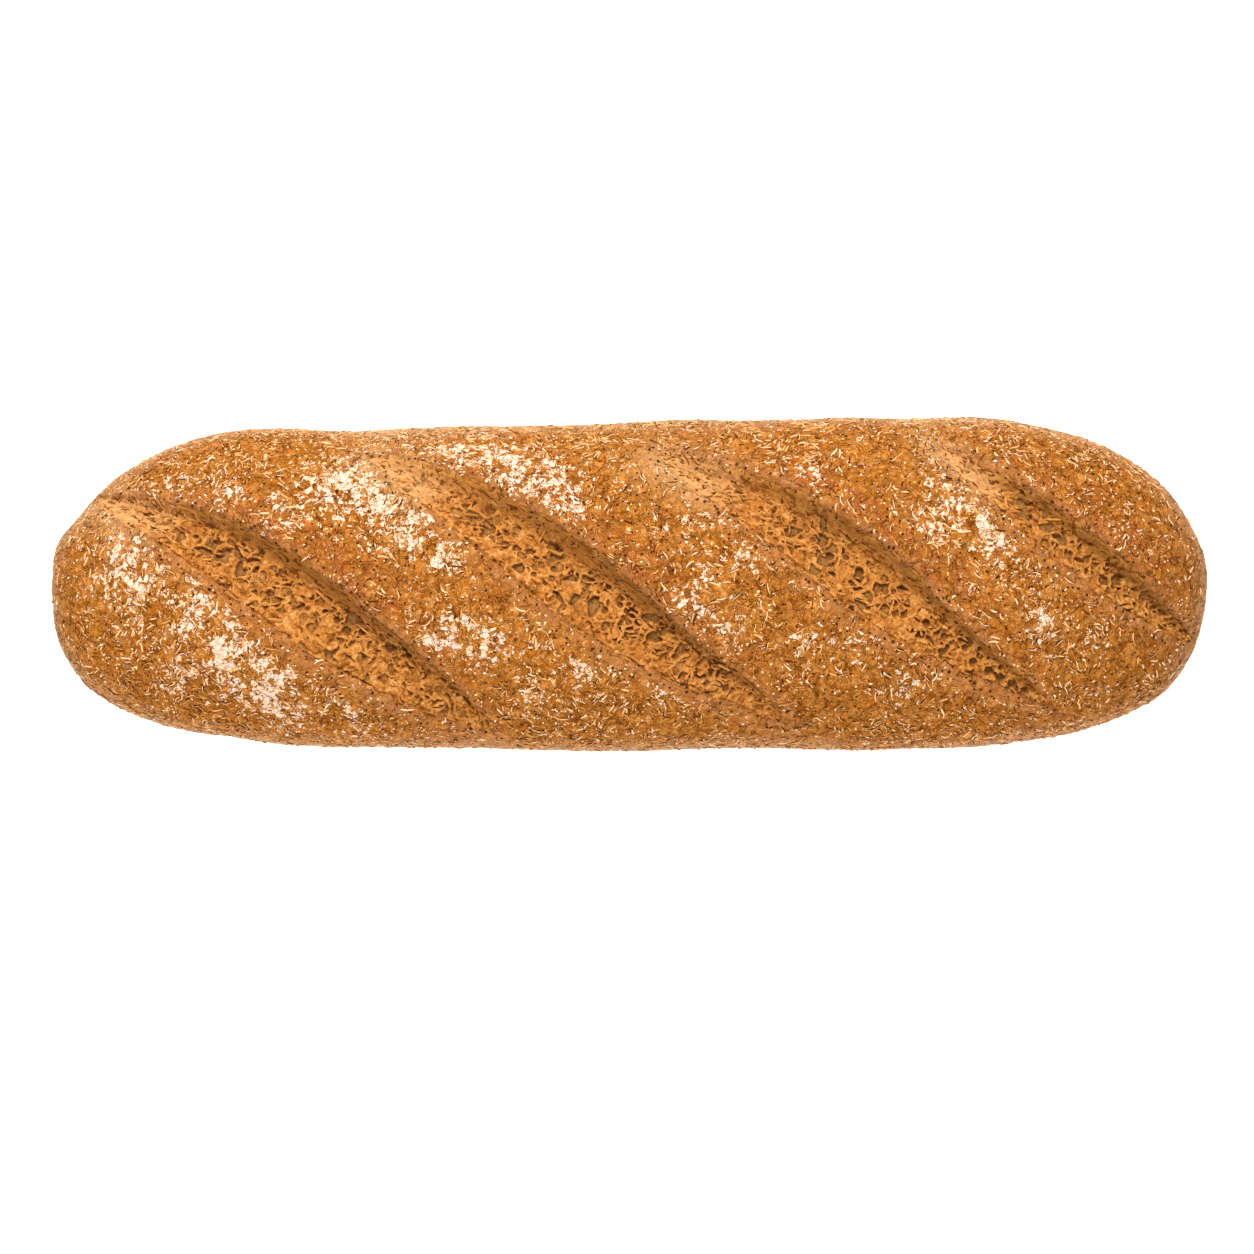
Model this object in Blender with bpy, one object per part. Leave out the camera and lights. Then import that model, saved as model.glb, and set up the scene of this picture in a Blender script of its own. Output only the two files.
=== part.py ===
"""A whole wheat loaf: one crusty, flour-dusted loaf with four diagonal cuts that have opened in the oven.

Metres, +Z up. The loaf lies along X on its flat underside, and the origin is at the middle of that underside.
The cuts run from the back left (-X, +Y) to the front right (+X, -Y).
Run it with: blender --background --python part.py
"""

import math

import bmesh
import bpy
import numpy as np
from mathutils import Matrix, Vector, noise

# The loaf as baked
LENGTH = 0.310
WIDTH = 0.0898
HEIGHT = 0.062
WIDEST_HEIGHT = 0.024
LEFT_NARROWING = 0.055
CROWN_DROP = 0.05

# Its middle line, seen from above: it sways, its ends droop to the front, and it has a belly left of the middle
SWAY = 0.0006
END_DROOP = 0.0034
BELLY = 0.0011
BELLY_PLACE = -0.024
BELLY_SPREAD = 0.045

# How full its rounded forms are: 2 is an ellipse, and more is squarer
LEFT_FULLNESS = 2.12
RIGHT_FULLNESS = 2.1
CROWN_FULLNESS = 2.15
UNDERSIDE_FULLNESS = 2.0

# Its ends, and the round underside that the baking stone pressed flat
END_LENGTH = 0.066
PRESSED_DEPTH = 0.007

# The cuts, in plan: where each starts at the back and stops at the front, its width, how far its middle line bows to
# the back, how far that line also swings to the back before its middle and to the front after it, and the share by
# which the cut narrows at its front end
CUTS = (
    {"start": (-0.1421, 0.0236), "stop": (-0.0350, -0.0400), "width": 0.0190, "bow": 0.0047, "swing": 0.0022,
     "narrowing": 0.0},
    {"start": (-0.0684, 0.0358), "stop": (0.0425, -0.0376), "width": 0.0194, "bow": 0.0002, "swing": 0.0019,
     "narrowing": 0.22},
    {"start": (0.0070, 0.0344), "stop": (0.1115, -0.0338), "width": 0.0192, "bow": 0.0019, "swing": 0.0023,
     "narrowing": 0.36},
    {"start": (0.0810, 0.0370), "stop": (0.1513, -0.0160), "width": 0.0122, "bow": -0.0011, "swing": 0.0006,
     "narrowing": 0.0},
)
NARROWS_FROM = 0.52
NARROWS_OVER = 0.33
TIP_BLUNTNESS = 0.6
TORN_FADE = 0.25
NO_WIDTH = 1e-5

# Across a cut, as shares of its half width: how deep it is, and how far behind its middle the groove lies
DEPTH_SHARE = 0.44
GROOVE_PLACE = 0.50

# The crust that lifts along the back edge of a cut, and the broad valley round the groove
LIP_HEIGHT = 0.0008
LIP_SETBACK = 0.0022
LIP_SPREAD = 0.0026
VALLEY_DEPTH = 0.0024
VALLEY_SPREAD = 0.0135
VALLEY_OVERRUN = 0.18
VALLEY_LEFT_AT_SIDES = 0.3

# Up the sides: the cuts reach down to the first height, a share of the widest height, and the valley has its full
# depth from the second, a share of the crown's rise
CUTS_FROM = 0.6
FULL_VALLEY_FROM = 0.5

# Crags of torn crumb in the cuts, and the soft lumps of the crust
CRAG_SIZE = 0.0048
CRAG_HEIGHT = 0.0008
LUMP_SIZE = 0.016
LUMP_HEIGHT = 0.0005

# The mesh before and after thinning
RINGS = 300
RING_SEGMENTS = 168
KEPT_SHARE = 0.100

CRUST_COLOUR = (0.48, 0.20, 0.055, 1.0)
CRUST_ROUGHNESS = 0.72


def clear_scene():
    for thing in list(bpy.data.objects):
        bpy.data.objects.remove(thing, do_unlink=True)


def smooth_step(share):
    share = np.clip(share, 0.0, 1.0)
    return share * share * (3.0 - 2.0 * share)


def end_taper(x):
    """The share of its full section that the loaf has at x: 1 along the middle, and 0 at both tips."""
    into_end = np.clip((np.abs(x) - (LENGTH / 2 - END_LENGTH)) / END_LENGTH, 0.0, 1.0)
    fullness = np.where(x < 0, LEFT_FULLNESS, RIGHT_FULLNESS)
    return (1.0 - into_end**fullness) ** (1.0 / fullness)


def half_width(x):
    left_share = 0.5 - x / LENGTH
    return WIDTH / 2 * (1.0 - LEFT_NARROWING * left_share) * end_taper(x)


def centre_line(x):
    """How far to the back the loaf's middle lies at x."""
    share = 2.0 * x / LENGTH
    belly = BELLY * np.exp(-(((x - BELLY_PLACE) / BELLY_SPREAD) ** 2))
    return SWAY * share - END_DROOP * share**8 - belly


def rounded(value, fullness):
    return np.sign(value) * np.abs(value) ** (2.0 / fullness)


def dough_surface(x, turn):
    """The uncut loaf's surface. turn is the angle round the section: 0 at the back, a quarter turn at the crown."""
    side, lift = np.cos(turn), np.sin(turn)
    taper = end_taper(x)
    crown = (HEIGHT - WIDEST_HEIGHT) * taper * (1.0 - CROWN_DROP * (2.0 * x / LENGTH) ** 2)
    belly = (WIDEST_HEIGHT + PRESSED_DEPTH) * taper
    fullness = np.where(lift > 0, CROWN_FULLNESS, UNDERSIDE_FULLNESS)
    y = centre_line(x) + half_width(x) * rounded(side, fullness)
    z = WIDEST_HEIGHT + np.where(lift > 0, crown, belly) * rounded(lift, fullness)
    return np.column_stack((x, y, np.maximum(z, 0.0)))


def across_cut(cut, x, y):
    """(along, across, half) of a point in plan: the share of the cut's length, the distance to the back of its
    middle line, and the half width of the opening there."""
    start, stop = Vector(cut["start"]), Vector(cut["stop"])
    way = (stop - start).normalized()
    along = ((x - start.x) * way.x + (y - start.y) * way.y) / (stop - start).length
    inside = np.clip(along, 0.0, 1.0)
    line = cut["bow"] * 4.0 * inside * (1.0 - inside) + cut["swing"] * np.sin(2.0 * math.pi * inside)
    across = (y - start.y) * way.x - (x - start.x) * way.y - line
    narrowed = 1.0 - cut["narrowing"] * smooth_step((inside - NARROWS_FROM) / NARROWS_OVER)
    half = cut["width"] / 2 * np.sin(math.pi * inside) ** TIP_BLUNTNESS * narrowed
    return along, across, half


def trough(place):
    """The opening's depth as a share, from its front edge at -1: a long slope to the groove, then a steep wall."""
    slope = smooth_step((place + 1.0) / (1.0 + GROOVE_PLACE))
    wall = smooth_step((1.0 - place) / (1.0 - GROOVE_PLACE))
    return np.minimum(slope, wall)


def cut_relief(points):
    """(height, torn): how far the cuts raise or lower the crust in metres, and the share of torn crumb there."""
    x, y, z = points.T
    on_top = smooth_step((z - WIDEST_HEIGHT) / (HEIGHT - WIDEST_HEIGHT) / FULL_VALLEY_FROM)
    valley_depth = VALLEY_DEPTH * (VALLEY_LEFT_AT_SIDES + (1.0 - VALLEY_LEFT_AT_SIDES) * on_top)
    height, torn = np.zeros_like(x), np.zeros_like(x)
    for cut in CUTS:
        along, across, half = across_cut(cut, x, y)
        place = across / np.maximum(half, NO_WIDTH)
        widest = cut["width"] / 2
        lip = LIP_HEIGHT * half / widest * np.exp(-(((across - half - LIP_SETBACK) / LIP_SPREAD) ** 2))
        reach = smooth_step((along + VALLEY_OVERRUN) / VALLEY_OVERRUN / 2)
        reach *= smooth_step((1.0 + VALLEY_OVERRUN - along) / VALLEY_OVERRUN / 2)
        valley = np.exp(-(((across - GROOVE_PLACE * half) / VALLEY_SPREAD) ** 2))
        height += lip - DEPTH_SHARE * half * trough(place) - valley_depth * reach * valley
        torn = np.maximum(torn, smooth_step((1.0 - np.abs(place)) / TORN_FADE) * half / widest)
    return height, torn


def noise_at(points, size):
    return np.array([noise.noise(Vector(p) / size) for p in points])


def dough_ball():
    """A unit sphere with its poles on the X axis, so that each of its rings becomes one section of the loaf."""
    ball = bmesh.new()
    bmesh.ops.create_uvsphere(
        ball,
        u_segments=RING_SEGMENTS,
        v_segments=RINGS,
        radius=1.0,
        matrix=Matrix.Rotation(math.pi / 2, 4, "Y"),
    )
    mesh = bpy.data.meshes.new("loaf")
    ball.to_mesh(mesh)
    ball.free()
    return mesh


def read(collection, name):
    values = np.empty(len(collection) * 3)
    collection.foreach_get(name, values)
    return values.reshape(-1, 3)


def shape_loaf(mesh):
    """Draws the ball out to the uncut loaf, then opens the cuts along its surface normals."""
    ball = read(mesh.vertices, "co")
    base = dough_surface(ball[:, 0] * LENGTH / 2, np.arctan2(ball[:, 2], ball[:, 1]))
    mesh.vertices.foreach_set("co", base.ravel())
    mesh.update()
    normals = read(mesh.vertex_normals, "vector")

    upper = smooth_step((base[:, 2] / WIDEST_HEIGHT - CUTS_FROM) / (1.0 - CUTS_FROM))
    above_stone = smooth_step(base[:, 2] / WIDEST_HEIGHT)
    height, torn = cut_relief(base)
    relief = upper * (height + torn * CRAG_HEIGHT * noise_at(base, CRAG_SIZE))
    relief += above_stone * LUMP_HEIGHT * noise_at(base, LUMP_SIZE)
    shaped = base + normals * relief[:, None]
    shaped[:, 2] = np.maximum(shaped[:, 2], 0.0)
    middle = (shaped.max(axis=0) + shaped.min(axis=0)) / 2
    shaped[:, :2] -= middle[:2]
    mesh.vertices.foreach_set("co", shaped.ravel())
    mesh.update()


def crust_material():
    material = bpy.data.materials.new("crust")
    material.use_nodes = True
    shader = material.node_tree.nodes["Principled BSDF"]
    shader.inputs["Base Color"].default_value = CRUST_COLOUR
    shader.inputs["Roughness"].default_value = CRUST_ROUGHNESS
    shader.inputs["Metallic"].default_value = 0.0
    return material


def make_loaf(collection):
    mesh = dough_ball()
    shape_loaf(mesh)
    mesh.shade_smooth()
    mesh.materials.append(crust_material())
    loaf = bpy.data.objects.new("loaf", mesh)
    collection.objects.link(loaf)
    thinning = loaf.modifiers.new("thinning", "DECIMATE")
    thinning.decimate_type = "COLLAPSE"
    thinning.ratio = KEPT_SHARE
    return loaf


def main():
    clear_scene()
    collection = bpy.data.collections.new("whole_wheat_loaf")
    bpy.context.scene.collection.children.link(collection)
    make_loaf(collection)


main()
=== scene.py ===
"""The looks of a whole wheat loaf: crackled crust, torn crumb in four diagonal cuts, and a dusting of flour.

Metres, +Z up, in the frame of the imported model. The loaf lies along X with its back to +Y.
"""

import math

import bpy
import numpy as np
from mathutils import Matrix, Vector, noise


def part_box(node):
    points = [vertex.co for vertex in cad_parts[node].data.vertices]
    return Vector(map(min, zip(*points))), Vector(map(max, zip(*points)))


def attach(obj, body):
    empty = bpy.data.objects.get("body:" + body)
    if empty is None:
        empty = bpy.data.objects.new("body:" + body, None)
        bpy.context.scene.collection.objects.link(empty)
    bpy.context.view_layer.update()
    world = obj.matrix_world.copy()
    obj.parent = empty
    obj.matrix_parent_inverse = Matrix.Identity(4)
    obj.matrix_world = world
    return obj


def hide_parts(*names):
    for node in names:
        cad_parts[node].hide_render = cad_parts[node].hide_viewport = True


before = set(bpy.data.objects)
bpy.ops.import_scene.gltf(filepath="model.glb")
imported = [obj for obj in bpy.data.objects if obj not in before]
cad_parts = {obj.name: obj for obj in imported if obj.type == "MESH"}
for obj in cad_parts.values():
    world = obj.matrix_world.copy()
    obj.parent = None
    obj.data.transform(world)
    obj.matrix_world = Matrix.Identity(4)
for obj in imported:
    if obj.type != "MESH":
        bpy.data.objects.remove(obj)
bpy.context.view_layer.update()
LOW, HIGH = (np.array(corner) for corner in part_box("loaf"))
SIZE = HIGH - LOW

# The loaf as baked. Lumps and cuts take a little off the uncut dough, whose size this is.
LENGTH = SIZE[0] + 0.0006
WIDTH = SIZE[1] + 0.0004
HEIGHT = SIZE[2] + 0.0003
WIDEST_HEIGHT = 0.024
LEFT_NARROWING = 0.055
CROWN_DROP = 0.05

# Its middle line, from above: it sways, its ends droop to the front, and it has a belly left of the middle
SWAY = 0.0006
END_DROOP = 0.0034
BELLY = 0.0011
BELLY_PLACE = -0.024
BELLY_SPREAD = 0.045

# How full its rounded forms are: 2 is an ellipse, and more is squarer
LEFT_FULLNESS = 2.12
RIGHT_FULLNESS = 2.1
CROWN_FULLNESS = 2.15
UNDERSIDE_FULLNESS = 2.0

# Its ends, and the round underside that the baking stone pressed flat
END_LENGTH = 0.066
PRESSED_DEPTH = 0.007

# The cuts, in plan: where each starts at the back and stops at the front, its width, how far its middle line
# bows to the back, how far that line also swings to the back before its middle and to the front after it, and
# the share by which the cut narrows at its front end
CUTS = (
    {"start": (-0.1421, 0.0236), "stop": (-0.0350, -0.0400), "width": 0.0190, "bow": 0.0047, "swing": 0.0022,
     "narrowing": 0.0},
    {"start": (-0.0684, 0.0358), "stop": (0.0425, -0.0376), "width": 0.0194, "bow": 0.0002, "swing": 0.0019,
     "narrowing": 0.22},
    {"start": (0.0070, 0.0344), "stop": (0.1115, -0.0338), "width": 0.0192, "bow": 0.0019, "swing": 0.0023,
     "narrowing": 0.36},
    {"start": (0.0810, 0.0370), "stop": (0.1513, -0.0160), "width": 0.0122, "bow": -0.0011, "swing": 0.0006,
     "narrowing": 0.0},
)
NARROWS_FROM = 0.52
NARROWS_OVER = 0.33
TIP_BLUNTNESS = 0.6

# Short steps for finding the surface's normal, and limits that keep divisions and roots sound
X_STEP = 2e-5
TURN_STEP = 1e-4
NO_WIDTH = 1e-5
NO_AREA = 1e-14
MOST_SIDE = 0.9995

# Across a cut, as shares of its half width: how deep it is, and how far behind its middle the groove lies
DEPTH_SHARE = 0.44
GROOVE_PLACE = 0.50

# The crust that lifts along the back edge of a cut, and the broad valley round the groove
LIP_HEIGHT = 0.0008
LIP_SETBACK = 0.0022
LIP_SPREAD = 0.0026
VALLEY_DEPTH = 0.0024
VALLEY_SPREAD = 0.0135
VALLEY_OVERRUN = 0.18
VALLEY_LEFT_AT_SIDES = 0.3
CUTS_FROM = 0.6
FULL_VALLEY_FROM = 0.5

# The soft lumps of the crust
LUMP_SIZE = 0.016
LUMP_HEIGHT = 0.0005

# The crackle of the crust: small plates with cracks between them, and wrinkles, all at full height from a
# share of the widest height up. A level is the share of their height that lies below the broad form, and a
# spread is in plates.
CRACKLE_FULL_FROM = 0.5
PLATE_SIZE = 0.0025
PLATE_HEIGHT = 0.00016
PLATE_LEVEL = 0.6
PLATE_WARP = 0.0012
PLATE_WARP_SPREAD = 1.6
PLATE_STRENGTH = 0.65
PLATE_UNEVENNESS = 0.7
PLATE_UNEVENNESS_SPREAD = 3.0
CRACK_WIDTH = 0.30
WRINKLE_SIZE = 0.0026
WRINKLE_HEIGHT = 0.00040
WRINKLE_LEVEL = 0.3

# Soft bumps and dents of the outline: x, y, how far out, and how broad
OUTLINE_BUMPS = (
    (-0.0790, 0.0415, -0.0016, 0.0180),
    (0.0120, 0.0430, 0.0007, 0.0220),
    (0.1130, 0.0400, -0.0006, 0.0120),
    (-0.1060, -0.0400, -0.0015, 0.0130),
    (-0.1440, -0.0270, 0.0008, 0.0080),
    (0.1040, -0.0420, -0.0011, 0.0120),
    (0.1440, -0.0280, 0.0010, 0.0085),
    (0.0600, -0.0440, 0.0006, 0.0180),
    (-0.1525, 0.0105, 0.0012, 0.0060),
    (-0.1550, -0.0060, -0.0005, 0.0070),
    (0.1540, 0.0060, 0.0007, 0.0080),
    (0.1540, -0.0110, -0.0005, 0.0070),
)

# The torn edge of the crust round a cut, and how deep the crust dives under the crumb
EDGE_RAGGEDNESS = 0.0012
EDGE_RAG_SIZE = 0.0026
EDGE_WIDTH = 0.0007
DIVE = 0.0030
CRUST_THICKNESS = 0.00035

# The colour of the torn edge: how far it reaches, how much faster it ends behind a cut, how strong and uneven
# it is
TORN_EDGE_SPREAD = 0.0038
TORN_EDGE_BACK_FALL = 2.2
TORN_EDGE_STRENGTH = 0.75
TORN_EDGE_UNEVENNESS = 0.9
TORN_EDGE_UNEVENNESS_SIZE = 0.003

# The blush behind a cut, and the shade at the foot of its back wall. Along the cut, that shade rises over a
# ramp, (start, length), and falls over a length before the end.
BLUSH_PLACE = 0.003
BLUSH_SPREAD = 0.007
LIP_SHADE_PLACE = 0.0012
LIP_SHADE_WIDTH = 0.0011
LIP_SHADE_START = (0.12, 0.25)
LIP_SHADE_END = 0.15

# The shaded groove, across a cut as shares of its half width
SHADED_PLACE = 0.72
SHADED_WIDTH = 0.34

# The pale dough round the back end of a cut: along it as a share and in metres, and across it as shares of
# its half width
PALE_TIP_PLACE = 0.07
PALE_TIP_LENGTH = 0.0135
PALE_TIP_SHIFT = 0.25
PALE_TIP_WIDTH = 0.75

# The pale sides: how far up and down they fade, and how pale they still are at the foot
SIDE_HEIGHT = 0.020
FOOT_HEIGHT = 0.022
FOOT_PALENESS = 0.32

# The torn crumb: hollows between walls at two sizes, pinholes, streaks along the groove, and small ridges
HOLLOW_SIZES = (0.0042, 0.0023)
HOLLOW_DEPTHS = (0.0018, 0.0010)
HOLLOW_SHARES = (0.42, 0.50)
HOLLOW_WALL = 0.12
HOLLOW_FLANK = 0.13
HOLLOW_WARP = 0.0010
HOLLOW_WARP_SIZE = 0.0028
PINHOLE_SIZE = 0.0016
PINHOLE_DEPTH = 0.0007
PINHOLE_SHARE = 0.45
PINHOLES_MORE_AT_TIP = 0.25
PINHOLE_SHIFT = (0.03, 0.01, 0.0)
PINHOLE_FLANK = (0.52, 0.16)
STREAK_LENGTH = 0.005
STREAK_WIDTH = 0.0007
STREAK_HEIGHT = 0.00030
STREAKS_ELSEWHERE = 0.15
RIDGE_SIZE = 0.0013
RIDGE_HEIGHT = 0.00025
RIDGE_LEVEL = 0.4
RIDGES_LOST_IN_GROOVE = 0.6
EDGE_FADE = 0.0004
EDGE_DETAIL = 0.4

# Where hollows are fewer: ramps across a cut or along it, (start, length) each, and how far they close them
IN_GROOVE = (0.30, 0.35)
GROOVE_OPENS = (0.45, 0.25)
PAST_TIP = (0.06, 0.16)
NEAR_END = (0.86, 0.10)
PAST_FRONT = (-0.85, 0.50)
GROOVE_CLOSING = 0.92
GROOVE_OPENING = 0.55
TIP_CLOSING = 0.85
END_CLOSING = 0.4
FRONT_CLOSING = 0.55

# Round pits in the torn crumb, cut by cut: how far along it, across it as a share of its half width, and the
# radius
PITS = (
    ((0.17, 0.10, 0.0006), (0.24, 0.00, 0.0008), (0.22, -0.34, 0.0005), (0.35, 0.36, 0.0006),
     (0.44, 0.22, 0.0006), (0.57, 0.12, 0.0009), (0.60, 0.12, 0.0010), (0.63, 0.00, 0.0013),
     (0.66, 0.24, 0.0011), (0.71, 0.75, 0.0008), (0.77, 0.49, 0.0009), (0.90, 0.37, 0.0007)),
    ((0.07, 0.22, 0.0006), (0.11, 0.60, 0.0005), (0.15, 0.60, 0.0006), (0.32, 0.04, 0.0008),
     (0.38, -0.05, 0.0012), (0.44, -0.06, 0.0010), (0.50, 0.27, 0.0009), (0.51, -0.30, 0.0009),
     (0.55, 0.45, 0.0008), (0.57, -0.15, 0.0010), (0.59, 0.22, 0.0009), (0.64, 0.10, 0.0010),
     (0.68, 0.08, 0.0010), (0.74, -0.20, 0.0010), (0.82, -0.50, 0.0008), (0.86, -0.35, 0.0008)),
    ((0.05, 0.53, 0.0005), (0.08, 0.50, 0.0005), (0.10, -0.16, 0.0006), (0.13, 0.00, 0.0006),
     (0.20, 0.00, 0.0008), (0.24, 0.02, 0.0007), (0.37, 0.02, 0.0009), (0.42, -0.12, 0.0012),
     (0.45, 0.14, 0.0009), (0.49, 0.05, 0.0013), (0.56, 0.04, 0.0010), (0.59, -0.08, 0.0010),
     (0.62, -0.20, 0.0009), (0.67, 0.01, 0.0011), (0.72, -0.04, 0.0010), (0.77, 0.05, 0.0010),
     (0.80, -0.34, 0.0012), (0.84, -0.36, 0.0013), (0.87, -0.40, 0.0014), (0.90, -0.38, 0.0014),
     (0.93, -0.30, 0.0012)),
    ((0.26, 0.16, 0.0006), (0.34, -0.02, 0.0010), (0.39, -0.15, 0.0008), (0.51, -0.20, 0.0008),
     (0.51, 0.59, 0.0005), (0.58, -0.40, 0.0007), (0.60, -0.30, 0.0007), (0.64, -0.26, 0.0007),
     (0.63, 0.55, 0.0007), (0.68, -0.23, 0.0008), (0.77, -0.33, 0.0009), (0.82, -0.45, 0.0006)),
)
PIT_DEPTH_SHARE = 1.3
PIT_OPEN = 0.15
PIT_FLANK = 0.45
PIT_STRETCH = 1.15
PIT_RIM_HEIGHT = 0.00022
PIT_RIM_PLACE = 1.20
PIT_RIM_WIDTH = 0.22

# The trench between crumb and crust. Its patches are how strong it usually is, how uneven, and their size.
TRENCH_DEPTH = 0.0005
TRENCH_PLACE = 0.0005
TRENCH_WIDTH = 0.0004
TRENCH_PATCHES = (0.7, 1.5, 0.003)

# The crumb's body: how far its sheet reaches under the crust, how steeply it dives there, and its keel below
SHEET_MARGIN = 0.0012
SHEET_DIVE = 1.2
KEEL_PLACE = 0.35
KEEL_DEPTH = 0.011
KEEL_LEAST_DEPTH = 0.002

# The strands of crumb that were pulled apart when the cuts opened, fused into its surface
STRANDS_PER_AREA = 0.052e6
STRAND_POINTS = 10
STRAND_SIDES = 8
STRAND_LENGTHS = (0.0016, 0.0046)
STRAND_RADII = (0.00026, 0.00060)
STRAND_LIFT = 0.00022
STRAND_LIFTS = (-0.3, 1.0)
STRAND_END_DIP = 0.00025
STRAND_FLATNESS = 0.95
STRAND_BLEND = 0.0002

# Where strands lie along a cut and across it, how far past the front edge and how far short of the back one
STRANDS_ALONG = (0.07, 0.97)
STRANDS_ACROSS = (-1.05, 0.62)
STRANDS_KEPT_ALONG = (0.01, 0.99)
STRAND_OVERHANG = 0.0006
STRAND_SETBACK = 0.0010

# Which way strands head, in radians from the cut's own way: one of several, combed at the front, or along it
STRAND_HEADINGS = (0.1, 0.6, 1.3, 1.5, -1.1)
COMBED_BELOW = -0.25
COMBED_HEADING = 0.45
STRAIGHT_FROM = 0.30
HEADING_STRAY = 0.30
STRAND_BEND = 1.1

# How thick a strand is at its ends, as a share, and the knots along it
STRAND_END_SHARE = 0.4
KNOT_SIZE = 0.18
KNOT_TURNS = 17.0
KNOT_SHIFT = 5.0

# The looser strands on top
LOOSE_STRANDS_PER_AREA = 0.009e6
LOOSE_LIFT = 0.0002
LOOSE_THINNESS = 0.8

# Thin strips: their points along, (up, side) round their section, and their width at the ends, as a share
STRIP_POINTS = 5
STRIP_SECTION = ((0.45, 0.40), (-0.40, 1.0), (-0.40, -1.0), (0.45, -0.40))
STRIP_END_SHARE = 0.55

# Flecks of bran, which lie in the crumb as such strips
BRAN_PER_AREA = 0.13e6
BRAN_LENGTHS = (0.0005, 0.0021)
BRAN_WIDTHS = (0.00016, 0.00036)
BRAN_LIFT = 0.00004
BRAN_ALONG = (0.02, 0.98)
BRAN_ACROSS = (-0.97, 0.97)
BRAN_STRAY = 0.55
BRAN_BEND = 1.3

# The rough middle of a cut, along it and across it, and the share of the bran that shows there
ROUGH_ALONG = (0.20, 0.88)
ROUGH_ACROSS = (-0.72, 0.40)
BRAN_SHOWN = 0.45

# The grid on which strands are drawn as rows of dots, and how far round and how deep a cavity is looked for
RASTER_STEP = 0.00012
RASTER_MARGIN = 0.0016
DOTS_PER_POINT = 6
NO_STRAND = -1.0
CAVITY_REACH = 4
CAVITY_DEPTH = 0.00045

# How finely the surfaces are drawn, and the most triangles for one piece
CRUST_STEP = 0.0005
END_CLOSENESS = 1.3
UNDERSIDE_STEP = 0.0014
FINE_TURN = 0.45
FINE_WIDTHS = 1.62
CRUMB_STEP = 0.00021
MOST_TRIANGLES = 192000
MOST_CRUMB_TRIANGLES = 105000

# The seed of all that is drawn at random, also of the offsets in noise that gives vectors
SEED = 41
noise.seed_set(SEED)

# How noise becomes ridges, and how far apart in the noise the draws of two cells lie
RIDGE_STEEPNESS = 3.0
DRAW_SPREAD = 3.7


def srgb(red, green, blue):
    """A colour as 0 to 255 on screen, turned to the linear light that shaders work in."""
    shares = np.array((red, green, blue)) / 255.0
    linear = np.where(shares <= 0.04045, shares / 12.92, ((shares + 0.055) / 1.055) ** 2.4)
    return (*linear, 1.0)


def smooth_step(share):
    share = np.clip(share, 0.0, 1.0)
    return share * share * (3.0 - 2.0 * share)


def rise(value, start, length):
    """0 below start, rising to 1 over length."""
    return smooth_step((value - start) / length)


def up_the_side(points):
    """0 on the underside, rising to 1 at the height where the loaf is widest."""
    return smooth_step(points[:, 2] / WIDEST_HEIGHT)


def end_taper(x):
    """The share of its full section that the loaf has at x: 1 along the middle, and 0 at both tips."""
    into_end = np.clip((np.abs(x) - (LENGTH / 2 - END_LENGTH)) / END_LENGTH, 0.0, 1.0)
    fullness = np.where(x < 0, LEFT_FULLNESS, RIGHT_FULLNESS)
    return (1.0 - into_end**fullness) ** (1.0 / fullness)


def half_width(x):
    left_share = 0.5 - x / LENGTH
    return WIDTH / 2 * (1.0 - LEFT_NARROWING * left_share) * end_taper(x)


def centre_line(x):
    """How far to the back the loaf's middle lies at x."""
    share = 2.0 * x / LENGTH
    belly = BELLY * np.exp(-(((x - BELLY_PLACE) / BELLY_SPREAD) ** 2))
    return SWAY * share - END_DROOP * share**8 - belly


def rounded(value, fullness):
    return np.sign(value) * np.abs(value) ** (2.0 / fullness)


def dough_surface(x, turn):
    """The uncut loaf's surface. turn is the angle round it: 0 at the back, a quarter turn at the crown."""
    side, lift = np.cos(turn), np.sin(turn)
    taper = end_taper(x)
    crown = (HEIGHT - WIDEST_HEIGHT) * taper * (1.0 - CROWN_DROP * (2.0 * x / LENGTH) ** 2)
    belly = (WIDEST_HEIGHT + PRESSED_DEPTH) * taper
    fullness = np.where(lift > 0, CROWN_FULLNESS, UNDERSIDE_FULLNESS)
    y = centre_line(x) + half_width(x) * rounded(side, fullness)
    z = WIDEST_HEIGHT + np.where(lift > 0, crown, belly) * rounded(lift, fullness)
    return np.column_stack((x, y, np.maximum(z, 0.0)))


def dough_normal(x, turn):
    """The direction out of the uncut loaf's surface, from short steps along it and round it."""
    along = dough_surface(x + X_STEP, turn) - dough_surface(x - X_STEP, turn)
    around = dough_surface(x, turn + TURN_STEP) - dough_surface(x, turn - TURN_STEP)
    normal = np.cross(around, along)
    length = np.linalg.norm(normal, axis=1)
    at_tip = length < NO_AREA
    normal[at_tip] = np.column_stack((np.sign(x[at_tip]), 0.0 * x[at_tip], 0.0 * x[at_tip]))
    length[at_tip] = 1.0
    return normal / length[:, None]


def top_turn(x, y):
    """The angle round the section at which the upper side lies over a point in plan."""
    side = np.clip((y - centre_line(x)) / np.maximum(half_width(x), NO_WIDTH), -MOST_SIDE, MOST_SIDE)
    return np.arccos(np.sign(side) * np.abs(side) ** (CROWN_FULLNESS / 2))


def cut_axes(cut):
    start, stop = np.array(cut["start"]), np.array(cut["stop"])
    length = np.linalg.norm(stop - start)
    return start, (stop - start) / length, length


def cut_half_width(cut, along):
    inside = np.clip(along, 0.0, 1.0)
    narrowed = 1.0 - cut["narrowing"] * smooth_step((inside - NARROWS_FROM) / NARROWS_OVER)
    return cut["width"] / 2 * np.sin(math.pi * inside) ** TIP_BLUNTNESS * narrowed


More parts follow.
